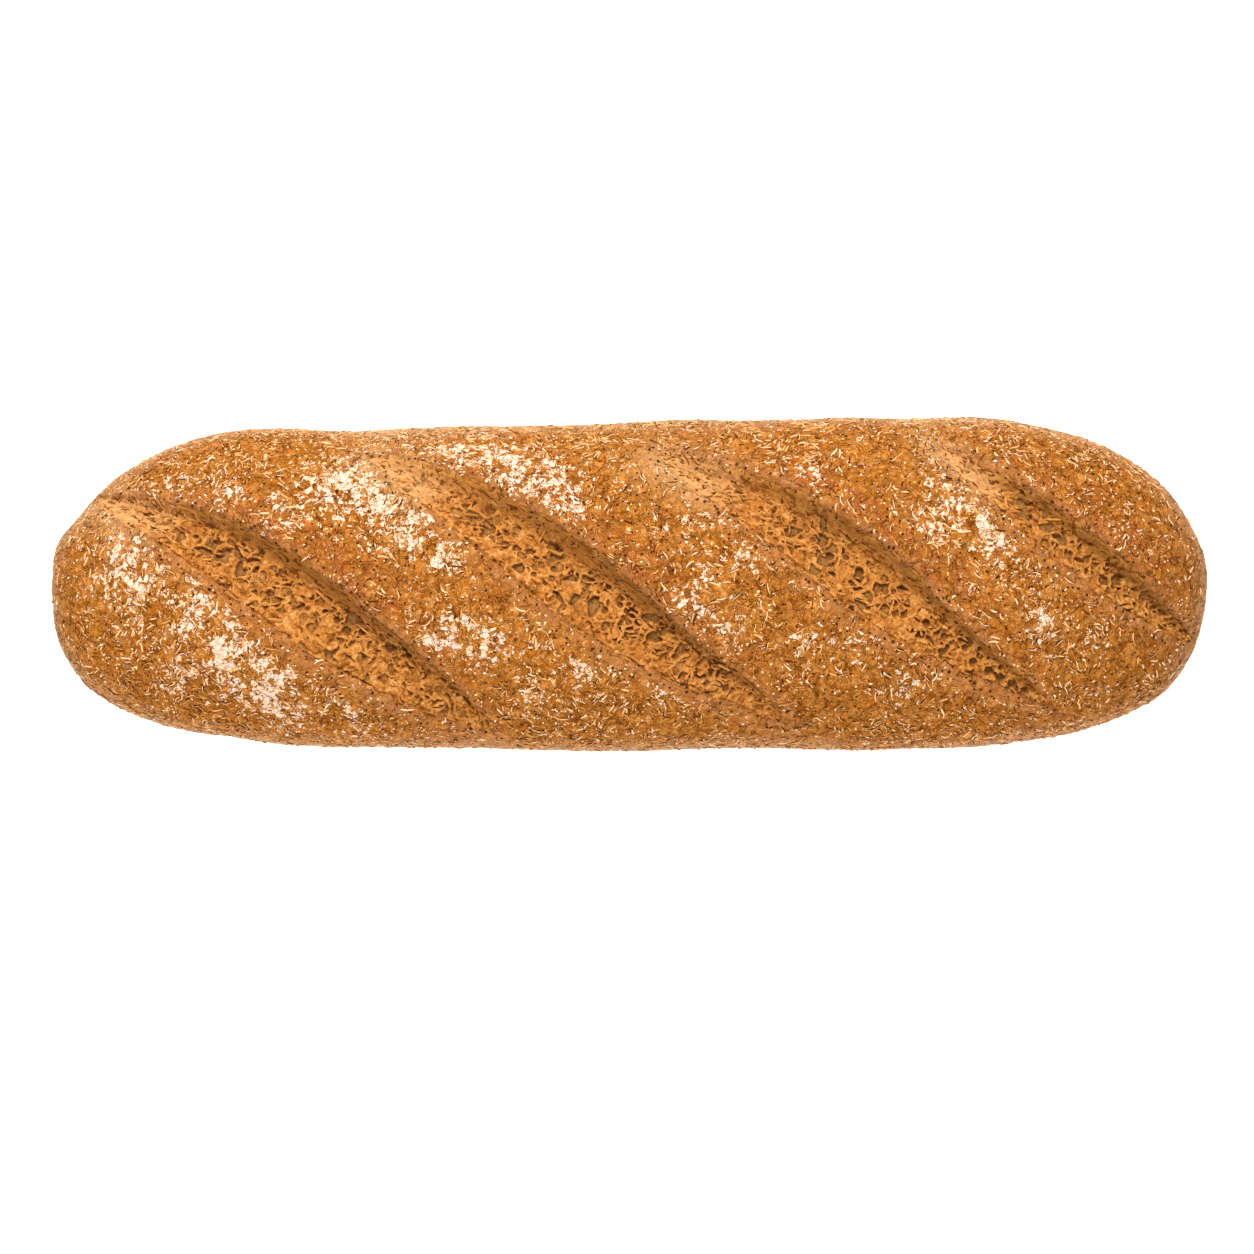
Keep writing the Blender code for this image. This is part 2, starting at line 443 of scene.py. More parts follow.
def cut_line(cut, along):
    """How far to the back of the straight line between its ends the middle line of a cut lies."""
    inside = np.clip(along, 0.0, 1.0)
    return cut["bow"] * 4.0 * inside * (1.0 - inside) + cut["swing"] * np.sin(2.0 * math.pi * inside)


def across_cut(cut, x, y):
    """(along, across, half) of a point in plan: the share of the cut's length, the distance to the back of
    its middle line, and the half width of the opening there."""
    start, way, length = cut_axes(cut)
    along = ((x - start[0]) * way[0] + (y - start[1]) * way[1]) / length
    across = (y - start[1]) * way[0] - (x - start[0]) * way[1] - cut_line(cut, along)
    return along, across, cut_half_width(cut, along)


def in_plan(cut, along, across):
    """The opposite of across_cut: x and y of a point that is given along and across a cut."""
    start, way, length = cut_axes(cut)
    back = across + cut_line(cut, along)
    x = start[0] + way[0] * along * length - way[1] * back
    y = start[1] + way[1] * along * length + way[0] * back
    return x, y


def trough(place):
    """The opening's depth as a share, from -1 to 1 across it: a long slope, the groove, and a steep wall."""
    slope = smooth_step((place + 1.0) / (1.0 + GROOVE_PLACE))
    wall = smooth_step((1.0 - place) / (1.0 - GROOVE_PLACE))
    return np.minimum(slope, wall)


def cut_form(points):
    """How far the cuts raise or lower the surface, in metres: the same broad form as the solid has."""
    x, y, z = points.T
    on_top = smooth_step((z - WIDEST_HEIGHT) / (HEIGHT - WIDEST_HEIGHT) / FULL_VALLEY_FROM)
    valley_depth = VALLEY_DEPTH * (VALLEY_LEFT_AT_SIDES + (1.0 - VALLEY_LEFT_AT_SIDES) * on_top)
    upper = smooth_step((z / WIDEST_HEIGHT - CUTS_FROM) / (1.0 - CUTS_FROM))
    height = np.zeros_like(x)
    for cut in CUTS:
        along, across, half = across_cut(cut, x, y)
        place = across / np.maximum(half, NO_WIDTH)
        from_lip = (across - half - LIP_SETBACK) / LIP_SPREAD
        lip = LIP_HEIGHT * half / (cut["width"] / 2) * np.exp(-(from_lip**2))
        reach = smooth_step((along + VALLEY_OVERRUN) / VALLEY_OVERRUN / 2)
        reach *= smooth_step((1.0 + VALLEY_OVERRUN - along) / VALLEY_OVERRUN / 2)
        valley = np.exp(-(((across - GROOVE_PLACE * half) / VALLEY_SPREAD) ** 2))
        height += lip - DEPTH_SHARE * half * trough(place) - valley_depth * reach * valley
    return upper * height


def noise_at(points, size):
    return np.array([noise.noise(point) for point in (points / size).tolist()])


def noise_vectors_at(points, size):
    return np.array([noise.noise_vector(point) for point in (points / size).tolist()])


def cells_at(points, size):
    """(gap, draw): how far each point is from the wall of its cell, and its cell's own draw from 0 to 1."""
    found = [noise.voronoi(point) for point in (points / size).tolist()]
    gaps = np.array([distances[1] - distances[0] for distances, places in found])
    draws = np.array([noise.noise(places[0] * DRAW_SPREAD) for distances, places in found])
    return gaps, np.clip(0.5 + draws, 0.0, 1.0)


def ridges(values):
    """Turns noise round 0 into ridges: 1 where it crosses 0, falling to 0 beside them."""
    return np.clip(1.0 - np.abs(values) * RIDGE_STEEPNESS, 0.0, 1.0)


def patchy(points, usual, strength, size):
    """A chance from 0 to 1 that noise of that size raises and lowers from place to place."""
    return smooth_step(usual + strength * noise_at(points, size))


def lumps(points):
    """The soft lumps of the crust, and the bumps and dents of its outline."""
    height = LUMP_HEIGHT * noise_at(points, LUMP_SIZE)
    for x, y, out, spread in OUTLINE_BUMPS:
        height += out * np.exp(-((points[:, 0] - x) ** 2 + (points[:, 1] - y) ** 2) / spread**2)
    return up_the_side(points) * height


def inside_cuts(points, raggedness):
    """How far inside the torn edge of the nearest cut each point is, in metres: below 0 on the crust."""
    x, y, z = points.T
    inside = np.full_like(x, -1.0)
    ragged = raggedness * noise_at(points, EDGE_RAG_SIZE)
    for cut in CUTS:
        along, across, half = across_cut(cut, x, y)
        depth = np.where((along > 0.0) & (along < 1.0), half - np.abs(across), -np.abs(across) - half)
        inside = np.maximum(inside, depth)
    return np.where(z > WIDEST_HEIGHT * CUTS_FROM, inside + ragged, -1.0)


def crust_detail(points):
    """(height, crack): the crackle of the crust in metres, and 1 in its cracks."""
    above_stone = smooth_step(points[:, 2] / WIDEST_HEIGHT / CRACKLE_FULL_FROM)
    bent = points + PLATE_WARP * noise_vectors_at(points, PLATE_SIZE * PLATE_WARP_SPREAD)
    body = smooth_step(cells_at(bent, PLATE_SIZE)[0] / CRACK_WIDTH)
    strength = PLATE_STRENGTH + PLATE_UNEVENNESS * noise_at(points, PLATE_SIZE * PLATE_UNEVENNESS_SPREAD)
    plates = PLATE_HEIGHT * strength * (body - PLATE_LEVEL)
    wrinkles = WRINKLE_HEIGHT * (ridges(noise_at(bent, WRINKLE_SIZE)) - WRINKLE_LEVEL)
    return above_stone * (plates + wrinkles), 1.0 - body


def put_mesh(name, points, faces, values=None):
    """A smooth-shaded object from points and faces, with one float attribute for each entry of values."""
    mesh = bpy.data.meshes.new(name)
    mesh.from_pydata(points.tolist(), [], [face for group in faces for face in group.tolist()])
    for title, numbers in (values or {}).items():
        attribute = mesh.attributes.new(title, "FLOAT", "POINT")
        attribute.data.foreach_set("value", np.asarray(numbers, np.float32))
    mesh.shade_smooth()
    piece = bpy.data.objects.new(name, mesh)
    bpy.context.scene.collection.objects.link(piece)
    return piece


def thin_out(piece, most):
    """Collapses the flattest edges of a piece until it has at most that many triangles."""
    triangles = sum(len(face.vertices) - 2 for face in piece.data.polygons)
    if triangles <= most:
        return
    thinning = piece.modifiers.new("thinning", "DECIMATE")
    thinning.ratio = most / triangles
    evaluated = piece.evaluated_get(bpy.context.evaluated_depsgraph_get())
    thinned = bpy.data.meshes.new_from_object(evaluated)
    piece.modifiers.remove(thinning)
    piece.data = thinned
    thinned.name = piece.name


def finish_piece(piece, material):
    piece.data.materials.clear()
    piece.data.materials.append(material)
    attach(piece, "root")


def ring_places():
    """x of each ring: even steps along the middle, and even steps of angle round each end."""
    middle = LENGTH / 2 - END_LENGTH
    end_steps = int(END_LENGTH * END_CLOSENESS / CRUST_STEP)
    round_end = middle + END_LENGTH * np.sin(np.linspace(0.0, math.pi / 2, end_steps + 1)[:-1])
    straight = np.linspace(-middle, middle, int(2 * middle / CRUST_STEP))
    return np.concatenate((-round_end[:0:-1], straight, round_end[1:]))


def segment_turns():
    """The angles round a section: close together over the top and sides, and further apart underneath."""
    upper_steps = int((WIDTH * FINE_WIDTHS) / CRUST_STEP)
    lower_steps = int(WIDTH / UNDERSIDE_STEP)
    upper = np.linspace(-FINE_TURN, math.pi + FINE_TURN, upper_steps, endpoint=False)
    lower = np.linspace(math.pi + FINE_TURN, 2 * math.pi - FINE_TURN, lower_steps, endpoint=False)
    return np.concatenate((upper, lower))


def wrapped_grid(rows, columns):
    """Quads of a grid whose columns join up round a section."""
    row, column = np.meshgrid(np.arange(rows - 1), np.arange(columns), indexing="ij")
    here, following = row * columns, (column + 1) % columns
    quads = (here + column, here + following, here + columns + following, here + columns + column)
    return np.stack([corner.ravel() for corner in quads], axis=1)


def repeated(faces, count, points_each):
    """The faces of one copy, repeated for many copies that have so many points each."""
    starts = (np.arange(count) * points_each)[:, None, None]
    return (faces[None] + starts).reshape(-1, faces.shape[1])


def end_caps(rows, columns, first_tip, last_tip):
    """Triangles that close both ends of such a grid, each round a point of its own."""
    column = np.arange(columns)
    following = (column + 1) % columns
    last = (rows - 1) * columns
    first_cap = np.stack((np.full(columns, first_tip), following, column), axis=1)
    last_cap = np.stack((np.full(columns, last_tip), last + column, last + following), axis=1)
    return first_cap, last_cap


def make_crust():
    places, turns = ring_places(), segment_turns()
    rows, columns = len(places), len(turns)
    x = np.append(np.repeat(places, columns), (-LENGTH / 2, LENGTH / 2))
    turn = np.append(np.tile(turns, rows), (0.0, 0.0))
    base = dough_surface(x, turn)
    normal = dough_normal(x, turn)

    crusted = 1.0 - smooth_step(inside_cuts(base, EDGE_RAGGEDNESS) / EDGE_WIDTH)
    detail, crack = crust_detail(base)
    relief = cut_form(base) + lumps(base) + crusted * detail - DIVE * (1.0 - crusted)
    points = base + normal * relief[:, None]
    points[:, 2] = np.maximum(points[:, 2], 0.0)

    caps = end_caps(rows, columns, rows * columns, rows * columns + 1)
    values = {
        "crack": crack * crusted,
        "flour": flour_at(base),
        "blush": blush_at(base),
        "groove": groove_at(base),
        "edge": torn_edge_at(base),
        "pale": pale_tip_at(base),
        "side": side_at(base),
        "lip_shade": lip_shade_at(base),
    }
    crust = put_mesh("crust", points, (wrapped_grid(rows, columns), *caps), values)
    thin_out(crust, MOST_TRIANGLES)
    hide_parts("loaf")
    finish_piece(crust, crust_material())


# Where flour lies thick: x, y, the two radii in metres, the angle of the first in degrees, and how thick
FLOUR_PATCHES = (
    (-0.1225, 0.0125, 0.0085, 0.0048, -40, 1.05),
    (-0.1295, 0.0037, 0.0134, 0.0092, -80, 1.19),
    (-0.1096, -0.0101, 0.0106, 0.0069, -65, 1.19),
    (-0.1030, -0.0205, 0.0129, 0.0080, -40, 1.12),
    (-0.1184, -0.0249, 0.0050, 0.0046, 0, 1.00),
    (-0.0906, -0.0299, 0.0095, 0.0069, -60, 1.00),
    (-0.0711, -0.0347, 0.0056, 0.0046, -60, 0.75),
    (-0.1186, 0.0271, 0.0045, 0.0040, 0, 0.62),
    (-0.1045, 0.0243, 0.0062, 0.0052, 0, 0.75),
    (-0.0889, 0.0172, 0.0062, 0.0052, 0, 0.75),
    (-0.0722, 0.0269, 0.0123, 0.0069, 20, 1.12),
    (-0.0597, 0.0190, 0.0168, 0.0092, -40, 1.25),
    (-0.0477, 0.0105, 0.0073, 0.0063, -40, 1.00),
    (-0.0495, 0.0356, 0.0112, 0.0040, -15, 0.75),
    (-0.0327, 0.0296, 0.0118, 0.0080, -30, 1.06),
    (-0.0197, 0.0251, 0.0085, 0.0060, -30, 0.95),
    (-0.0134, 0.0183, 0.0045, 0.0040, 0, 0.65),
    (-0.0391, -0.0152, 0.0101, 0.0057, -25, 1.19),
    (-0.0503, -0.0152, 0.0067, 0.0040, 0, 0.81),
    (-0.0244, -0.0301, 0.0050, 0.0045, 0, 0.65),
    (-0.0119, -0.0240, 0.0065, 0.0060, 0, 0.80),
    (-0.0031, -0.0214, 0.0035, 0.0030, 0, 0.65),
    (0.0106, -0.0293, 0.0050, 0.0045, 0, 0.60),
    (0.0201, 0.0183, 0.0045, 0.0040, 0, 0.70),
    (0.0131, 0.0131, 0.0045, 0.0040, 0, 0.65),
    (0.0311, 0.0074, 0.0055, 0.0050, 0, 0.95),
    (0.0208, 0.0029, 0.0045, 0.0040, 0, 0.65),
    (0.0149, -0.0054, 0.0045, 0.0040, 0, 0.80),
    (0.0234, -0.0111, 0.0075, 0.0040, -30, 0.75),
    (0.0447, -0.0152, 0.0055, 0.0050, 0, 0.65),
    (0.0586, -0.0152, 0.0075, 0.0060, 0, 0.70),
    (0.0724, -0.0266, 0.0055, 0.0050, 0, 0.75),
    (0.0452, 0.0304, 0.0060, 0.0040, -20, 0.75),
    (0.0828, 0.0224, 0.0085, 0.0055, -50, 0.80),
    (0.0935, 0.0120, 0.0135, 0.0080, -30, 0.86),
    (0.0773, 0.0138, 0.0065, 0.0035, -25, 0.65),
    (0.1065, -0.0111, 0.0085, 0.0050, -75, 0.75),
    (0.1210, -0.0137, 0.0055, 0.0035, 90, 0.55),
    (0.1215, -0.0290, 0.0060, 0.0030, 20, 0.60),
)
FLOUR_EVERYWHERE = 0.08


def flour_at(points):
    """How thick the flour lies, from 0 to 1."""
    x, y, z = points.T
    flour = np.full_like(x, FLOUR_EVERYWHERE)
    for at_x, at_y, long_radius, short_radius, degrees, thickness in FLOUR_PATCHES:
        angle = math.radians(degrees)
        forward = (x - at_x) * math.cos(angle) + (y - at_y) * math.sin(angle)
        sideways = (y - at_y) * math.cos(angle) - (x - at_x) * math.sin(angle)
        flour += thickness * np.exp(-((forward / long_radius) ** 2) - (sideways / short_radius) ** 2)
    return np.clip(flour, 0.0, 1.0) * up_the_side(points) * (1.0 - torn_edge_at(points))


def over_cuts(points, mark):
    """The largest of a mark's values over all the cuts. mark takes a cut and what across_cut gives."""
    return np.maximum.reduce([mark(cut, *across_cut(cut, points[:, 0], points[:, 1])) for cut in CUTS])


def torn_edge_at(points):
    """1 on the crust that tore along the front edge and round the tips of a cut, fading to 0 away from it."""
    def torn(cut, along, across, half):
        past_end = np.maximum(np.maximum(-along, along - 1.0), 0.0) * cut_axes(cut)[2]
        before = np.maximum(-across - half, 0.0)
        behind = np.maximum(across - half, 0.0)
        away = np.sqrt(before**2 + (TORN_EDGE_BACK_FALL * behind) ** 2 + past_end**2)
        return np.exp(-((away / TORN_EDGE_SPREAD) ** 2))

    ragged = TORN_EDGE_STRENGTH + TORN_EDGE_UNEVENNESS * noise_at(points, TORN_EDGE_UNEVENNESS_SIZE)
    return np.clip(over_cuts(points, torn) * ragged, 0.0, 1.0) * up_the_side(points)


def blush_at(points):
    """1 on the redder crust that lies behind the back edge of a cut, fading to 0."""
    def blush(cut, along, across, half):
        beyond = (across - half - BLUSH_PLACE) / BLUSH_SPREAD
        return np.exp(-(beyond**2)) * np.sin(math.pi * np.clip(along, 0.0, 1.0))

    return over_cuts(points, blush) * up_the_side(points)


def pale_tip_at(points):
    """1 on the pale, smooth dough round the back end of each cut, fading to 0."""
    def pale(cut, along, across, half):
        widest = cut["width"] / 2
        forward = (along - PALE_TIP_PLACE) * cut_axes(cut)[2] / PALE_TIP_LENGTH
        sideways = (across + PALE_TIP_SHIFT * widest) / (PALE_TIP_WIDTH * widest)
        return np.exp(-(forward**4) - sideways**2)

    return over_cuts(points, pale) * up_the_side(points)


def side_at(points):
    """1 on the loaf's pale sides, fading to 0 up towards the crown, and part of the way down to its foot."""
    z = points[:, 2]
    paleness = FOOT_PALENESS + (1.0 - FOOT_PALENESS) * smooth_step(z / FOOT_HEIGHT)
    return (1.0 - rise(z, WIDEST_HEIGHT, SIDE_HEIGHT)) * paleness


def groove_at(points):
    """1 in the shaded groove of a cut, fading to 0 up its walls."""
    def groove(cut, along, across, half):
        from_groove = (across / np.maximum(half, NO_WIDTH) - SHADED_PLACE) / SHADED_WIDTH
        return np.exp(-(from_groove**2)) * (half / (cut["width"] / 2)) ** 0.5

    return over_cuts(points, groove) * up_the_side(points)


def lip_shade_at(points):
    """1 along the foot of a cut's back wall, where crumb and crust meet, fading to 0 on both sides."""
    def shade(cut, along, across, half):
        from_foot = (across - half + LIP_SHADE_PLACE) / LIP_SHADE_WIDTH
        inside = rise(along, *LIP_SHADE_START) * smooth_step((1.0 - along) / LIP_SHADE_END)
        return np.exp(-(from_foot**2)) * inside

    return over_cuts(points, shade) * up_the_side(points)


def across_and_along(cut, points):
    """Points in metres across and along a cut, flat, with the cut's own place in the noise."""
    along, across, half = across_cut(cut, points[:, 0], points[:, 1])
    return np.column_stack((across, along * cut_axes(cut)[2], np.full_like(along, cut["start"][0] * 40.0)))


def crumb_detail(flat, place, along):
    """(height, hollow) of the torn crumb: its relief in metres, and 1 on the floors of its hollows."""
    bent = flat + HOLLOW_WARP * noise_vectors_at(flat, HOLLOW_WARP_SIZE)
    in_groove = rise(place, *IN_GROOVE)
    near_tip = 1.0 - rise(along, *PAST_TIP)
    closed = GROOVE_CLOSING * in_groove * (1.0 - GROOVE_OPENING * rise(along, *GROOVE_OPENS))
    closed = closed + TIP_CLOSING * near_tip + END_CLOSING * rise(along, *NEAR_END)
    closed = np.clip(closed + FRONT_CLOSING * (1.0 - rise(place, *PAST_FRONT)), 0.0, 1.0)
    height, hollow = np.zeros(len(flat)), np.zeros(len(flat))
    for size, depth, share in zip(HOLLOW_SIZES, HOLLOW_DEPTHS, HOLLOW_SHARES):
        gap, draw = cells_at(bent, size)
        sunk = rise(gap, HOLLOW_WALL, HOLLOW_FLANK) * (draw < share * (1.0 - closed))
        height = np.minimum(height, -depth * sunk * (0.5 + draw))
        hollow = np.maximum(hollow, sunk * depth / HOLLOW_DEPTHS[0])
    gap, draw = cells_at(bent + PINHOLE_SHIFT, PINHOLE_SIZE)
    pinhole = rise(gap, *PINHOLE_FLANK) * (draw < PINHOLE_SHARE + PINHOLES_MORE_AT_TIP * near_tip)
    height -= PINHOLE_DEPTH * pinhole
    streaked = STREAKS_ELSEWHERE + (1.0 - STREAKS_ELSEWHERE) * np.maximum(in_groove, near_tip)
    height += STREAK_HEIGHT * streaked * noise_at(bent / (STREAK_WIDTH, STREAK_LENGTH, 1.0), 1.0)
    ridged = ridges(noise_at(bent, RIDGE_SIZE)) - RIDGE_LEVEL
    height += RIDGE_HEIGHT * ridged * (1.0 - RIDGES_LOST_IN_GROOVE * in_groove)
    return height, hollow


def pit_form(pits, cut, along, across):
    """(height, floor): how far a cut's pits lower or raise the crumb in metres, and 1 on their floors."""
    depth, rim, floor = np.zeros_like(along), np.zeros_like(along), np.zeros_like(along)
    length = cut_axes(cut)[2]
    for pit_along, pit_place, radius in pits:
        forward = (along - pit_along) * length / PIT_STRETCH
        sideways = across - pit_place * cut_half_width(cut, pit_along)
        share = np.sqrt(forward**2 + sideways**2) / radius
        sunk = smooth_step((1.0 - share) / PIT_FLANK)
        depth = np.maximum(depth, PIT_DEPTH_SHARE * radius * sunk)
        rim = np.maximum(rim, np.exp(-(((share - PIT_RIM_PLACE) / PIT_RIM_WIDTH) ** 2)))
        floor = np.maximum(floor, sunk)
    return PIT_RIM_HEIGHT * rim * (1.0 - floor) - depth, floor


def strand_curves(cut, random, per_area):
    """(forward, sideways, radius, lift) of the strands torn across a cut: metres, one row for each strand."""
    length = cut_axes(cut)[2]
    count = int(per_area * length * cut["width"])
    along = random.uniform(*STRANDS_ALONG, count)
    place = random.uniform(*STRANDS_ACROSS, count)
    strand_length = random.uniform(*STRAND_LENGTHS, count)
    leaning = np.where(place < COMBED_BELOW, COMBED_HEADING, random.choice(STRAND_HEADINGS, count))
    heading = leaning * (place < STRAIGHT_FROM) + random.normal(0.0, HEADING_STRAY, count)
    bend = random.normal(0.0, STRAND_BEND, count)
    share = np.linspace(-0.5, 0.5, STRAND_POINTS)
    turned = heading[:, None] + bend[:, None] * share
    step = strand_length[:, None] / (STRAND_POINTS - 1)
    forward = along[:, None] * length + np.cumsum(np.cos(turned) * step, axis=1)
    sideways = (place * cut_half_width(cut, along))[:, None] + np.cumsum(np.sin(turned) * step, axis=1)
    forward = np.clip(forward, *(kept * length for kept in STRANDS_KEPT_ALONG))
    limit = cut_half_width(cut, forward / length)
    sideways = np.clip(sideways, -limit - STRAND_OVERHANG, np.maximum(limit - STRAND_SETBACK, 0.0))
    arch = np.sin(math.pi * (share + 0.5))
    thickness = STRAND_END_SHARE + (1.0 - STRAND_END_SHARE) * arch**0.5
    radius = random.uniform(*STRAND_RADII, count)[:, None] * thickness
    radius *= 1.0 + KNOT_SIZE * np.sin(share * KNOT_TURNS + heading[:, None] * KNOT_SHIFT)
    lift = random.uniform(*STRAND_LIFTS, count)[:, None] * STRAND_LIFT * arch - STRAND_END_DIP * (1.0 - arch)
    return forward, sideways, radius, lift


def strand_heights(cut, curves):
    """The heights of a cut's strands on a fine flat grid of rows along it, and NO_STRAND between them."""
    length = cut_axes(cut)[2]
    rows = int((length + 2 * RASTER_MARGIN) / RASTER_STEP) + 1
    columns = int((cut["width"] + 2 * RASTER_MARGIN) / RASTER_STEP) + 1
    heights = np.full((rows, columns), NO_STRAND)
    left = -cut["width"] / 2 - RASTER_MARGIN
    known = np.arange(STRAND_POINTS)
    places = np.linspace(0.0, STRAND_POINTS - 1.0, DOTS_PER_POINT * STRAND_POINTS)
    for curve in zip(*curves):
        ahead, aside, thick, raised = (np.interp(places, known, numbers) for numbers in curve)
        row = (ahead + RASTER_MARGIN) / RASTER_STEP
        column = (aside - left) / RASTER_STEP
        reach = int(thick.max() / RASTER_STEP) + 1
        low_row, low_column = max(int(row.min()) - reach, 0), max(int(column.min()) - reach, 0)
        high_row, high_column = int(row.max()) + reach + 2, int(column.max()) + reach + 2
        window = heights[low_row:high_row, low_column:high_column]
        window_rows = np.arange(low_row, low_row + window.shape[0])[:, None, None]
        window_columns = np.arange(low_column, low_column + window.shape[1])[None, :, None]
        away = np.hypot(window_rows - row, window_columns - column) * RASTER_STEP
        round_top = thick**2 - away**2
        top = raised + STRAND_FLATNESS * np.sqrt(np.maximum(round_top, 0.0))
        np.maximum(window, np.where(round_top > 0.0, top, NO_STRAND).max(axis=2), out=window)
    return heights


def read_grid(grid, forward, sideways, left):
    """The grid's values at points, between its nodes by straight lines."""
    row = np.clip((forward + RASTER_MARGIN) / RASTER_STEP, 0.0, grid.shape[0] - 1.001)
    column = np.clip((sideways - left) / RASTER_STEP, 0.0, grid.shape[1] - 1.001)
    low_row, low_column = row.astype(int), column.astype(int)
    down, over = row - low_row, column - low_column
    near = grid[low_row, low_column] * (1.0 - over) + grid[low_row, low_column + 1] * over
    far = grid[low_row + 1, low_column] * (1.0 - over) + grid[low_row + 1, low_column + 1] * over
    return near * (1.0 - down) + far * down


def crumb_surface(cut, along, across):
    """(base, normal, height) of the crumb's broad form at points along and across a cut."""
    x, y = in_plan(cut, along, across)
    turn = top_turn(x, y)
    base = dough_surface(x, turn)
    return base, dough_normal(x, turn), cut_form(base) + lumps(base) - CRUST_THICKNESS


def averaged(values, reach):
    """The mean of a grid's values over a square of cells round each of its nodes."""
    size = 2 * reach + 1
    padded = np.pad(values, ((reach + 1, reach), (reach + 1, reach)), mode="edge")
    total = padded.cumsum(axis=0).cumsum(axis=1)
    rows, columns = values.shape
    corners = total[size:, size:] - total[:rows, size:] - total[size:, :columns] + total[:rows, :columns]
    return corners / size**2


def make_crumb(index, cut, curves):
    """The crumb of one cut as a closed piece, and the relief on its grid."""
    length = cut_axes(cut)[2]
    rows = int(length / CRUMB_STEP)
    columns = int((cut["width"] + 2 * SHEET_MARGIN) / CRUMB_STEP)
    row_places = np.linspace(0.0, 1.0, rows)
    along = np.repeat(row_places, columns)
    half = cut_half_width(cut, along)
    across = np.tile(np.linspace(-1.0, 1.0, columns), rows) * (half + SHEET_MARGIN)
    base, normal, broad = crumb_surface(cut, along, across)
    detail, hollow = crumb_detail(across_and_along(cut, base), across / np.maximum(half, NO_WIDTH), along)
    grid_left = -cut["width"] / 2 - RASTER_MARGIN
    strands = read_grid(strand_heights(cut, curves), along * length, across, grid_left)
    pit, pit_floor = pit_form(PITS[index], cut, along, across)
    strands = np.where(pit_floor > PIT_OPEN, NO_STRAND, strands)
    on_strand = smooth_step((strands - detail) / STRAND_BLEND)
    detail = np.maximum(detail, strands) * (1.0 - pit_floor) + pit

    inside = half - np.abs(across)
    fade = smooth_step(inside / EDGE_FADE)
    detail *= np.where(detail > 0.0, EDGE_DETAIL + (1.0 - EDGE_DETAIL) * fade, fade)
    trench = TRENCH_DEPTH * np.exp(-(((inside - TRENCH_PLACE) / TRENCH_WIDTH) ** 2)) * (1.0 - on_strand)
    detail -= trench * patchy(base, *TRENCH_PATCHES)
    height = broad + detail - SHEET_DIVE * np.maximum(-inside, 0.0)
    top = base + normal * height[:, None]

    keel_across = KEEL_PLACE * cut_half_width(cut, row_places)
    keel_base, keel_normal, keel_height = crumb_surface(cut, row_places, keel_across)
    keel_depth = KEEL_DEPTH * np.sin(math.pi * row_places) ** 0.5 + KEEL_LEAST_DEPTH
    keel = keel_base + keel_normal * (keel_height - keel_depth)[:, None]
    points = np.concatenate((top.reshape(rows, columns, 3), keel[:, None]), axis=1).reshape(-1, 3)
    quads = wrapped_grid(rows, columns + 1)
    first_end = np.arange(columns + 1)[None]
    last_end = first_end[:, ::-1] + (rows - 1) * (columns + 1)

    grid = detail.reshape(rows, columns)
    relative = ((grid - averaged(grid, CAVITY_REACH)) / CAVITY_DEPTH).ravel()
    values = {
        # cavity carries painted shade in the relief's dips, and ridge a painted highlight on its rises
        "cavity": -relative,
        "ridge": relative,
        # hollow carries painted shade on the floors of hollows and pits
        "hollow": np.maximum(hollow * (1.0 - on_strand), pit_floor),
        "groove": groove_at(base),
        "pale": pale_tip_at(base),
        "lip_shade": lip_shade_at(base),
    }
    for title, numbers in values.items():
        shown = np.clip(numbers, 0.0, 1.0).reshape(rows, columns)
        values[title] = np.pad(shown, ((0, 0), (0, 1)), mode="edge").ravel()
    crumb = put_mesh(f"crumb_{index + 1}", points, (quads[:, ::-1], first_end, last_end), values)
    thin_out(crumb, MOST_CRUMB_TRIANGLES)
    return crumb, averaged(grid, 1)


def tubes(name, centres, radii, ups, section, values, lanes=None):
    """One piece of many tubes with pointed ends. centres is tube, point, xyz, and ups what is up there.
    The section is (up, side) shares of the radius, and lanes gives its corners their values on each tube."""
    count, steps = centres.shape[:2]
    sides = len(section)
    per_tube = steps * sides + 2
    tangent = np.gradient(centres, axis=1)
    tangent /= np.linalg.norm(tangent, axis=2)[:, :, None]
    side = np.cross(tangent, ups)
    side /= np.linalg.norm(side, axis=2)[:, :, None]
    up = np.cross(side, tangent)
    raised, aside = np.array(section).T
    ring = up[:, :, None] * raised[:, None] + side[:, :, None] * aside[:, None]
    body = centres[:, :, None] + ring * radii[:, :, None, None]
    outward = tangent[:, [0, -1]] * radii[:, [0, -1], None] * np.array((-1.0, 1.0))[:, None]
    points = np.concatenate((body.reshape(count, steps * sides, 3), centres[:, [0, -1]] + outward), axis=1)

    groups = (wrapped_grid(steps, sides), *end_caps(steps, sides, per_tube - 2, per_tube - 1))
    faces = [repeated(group, count, per_tube) for group in groups]
    spread = {title: np.repeat(numbers, per_tube) for title, numbers in values.items()}
    if lanes is not None:
        spread["lane"] = np.concatenate((np.tile(lanes, steps), lanes[:, [0, -1]]), axis=1).ravel()
    return put_mesh(name, points.reshape(-1, 3), faces, spread)


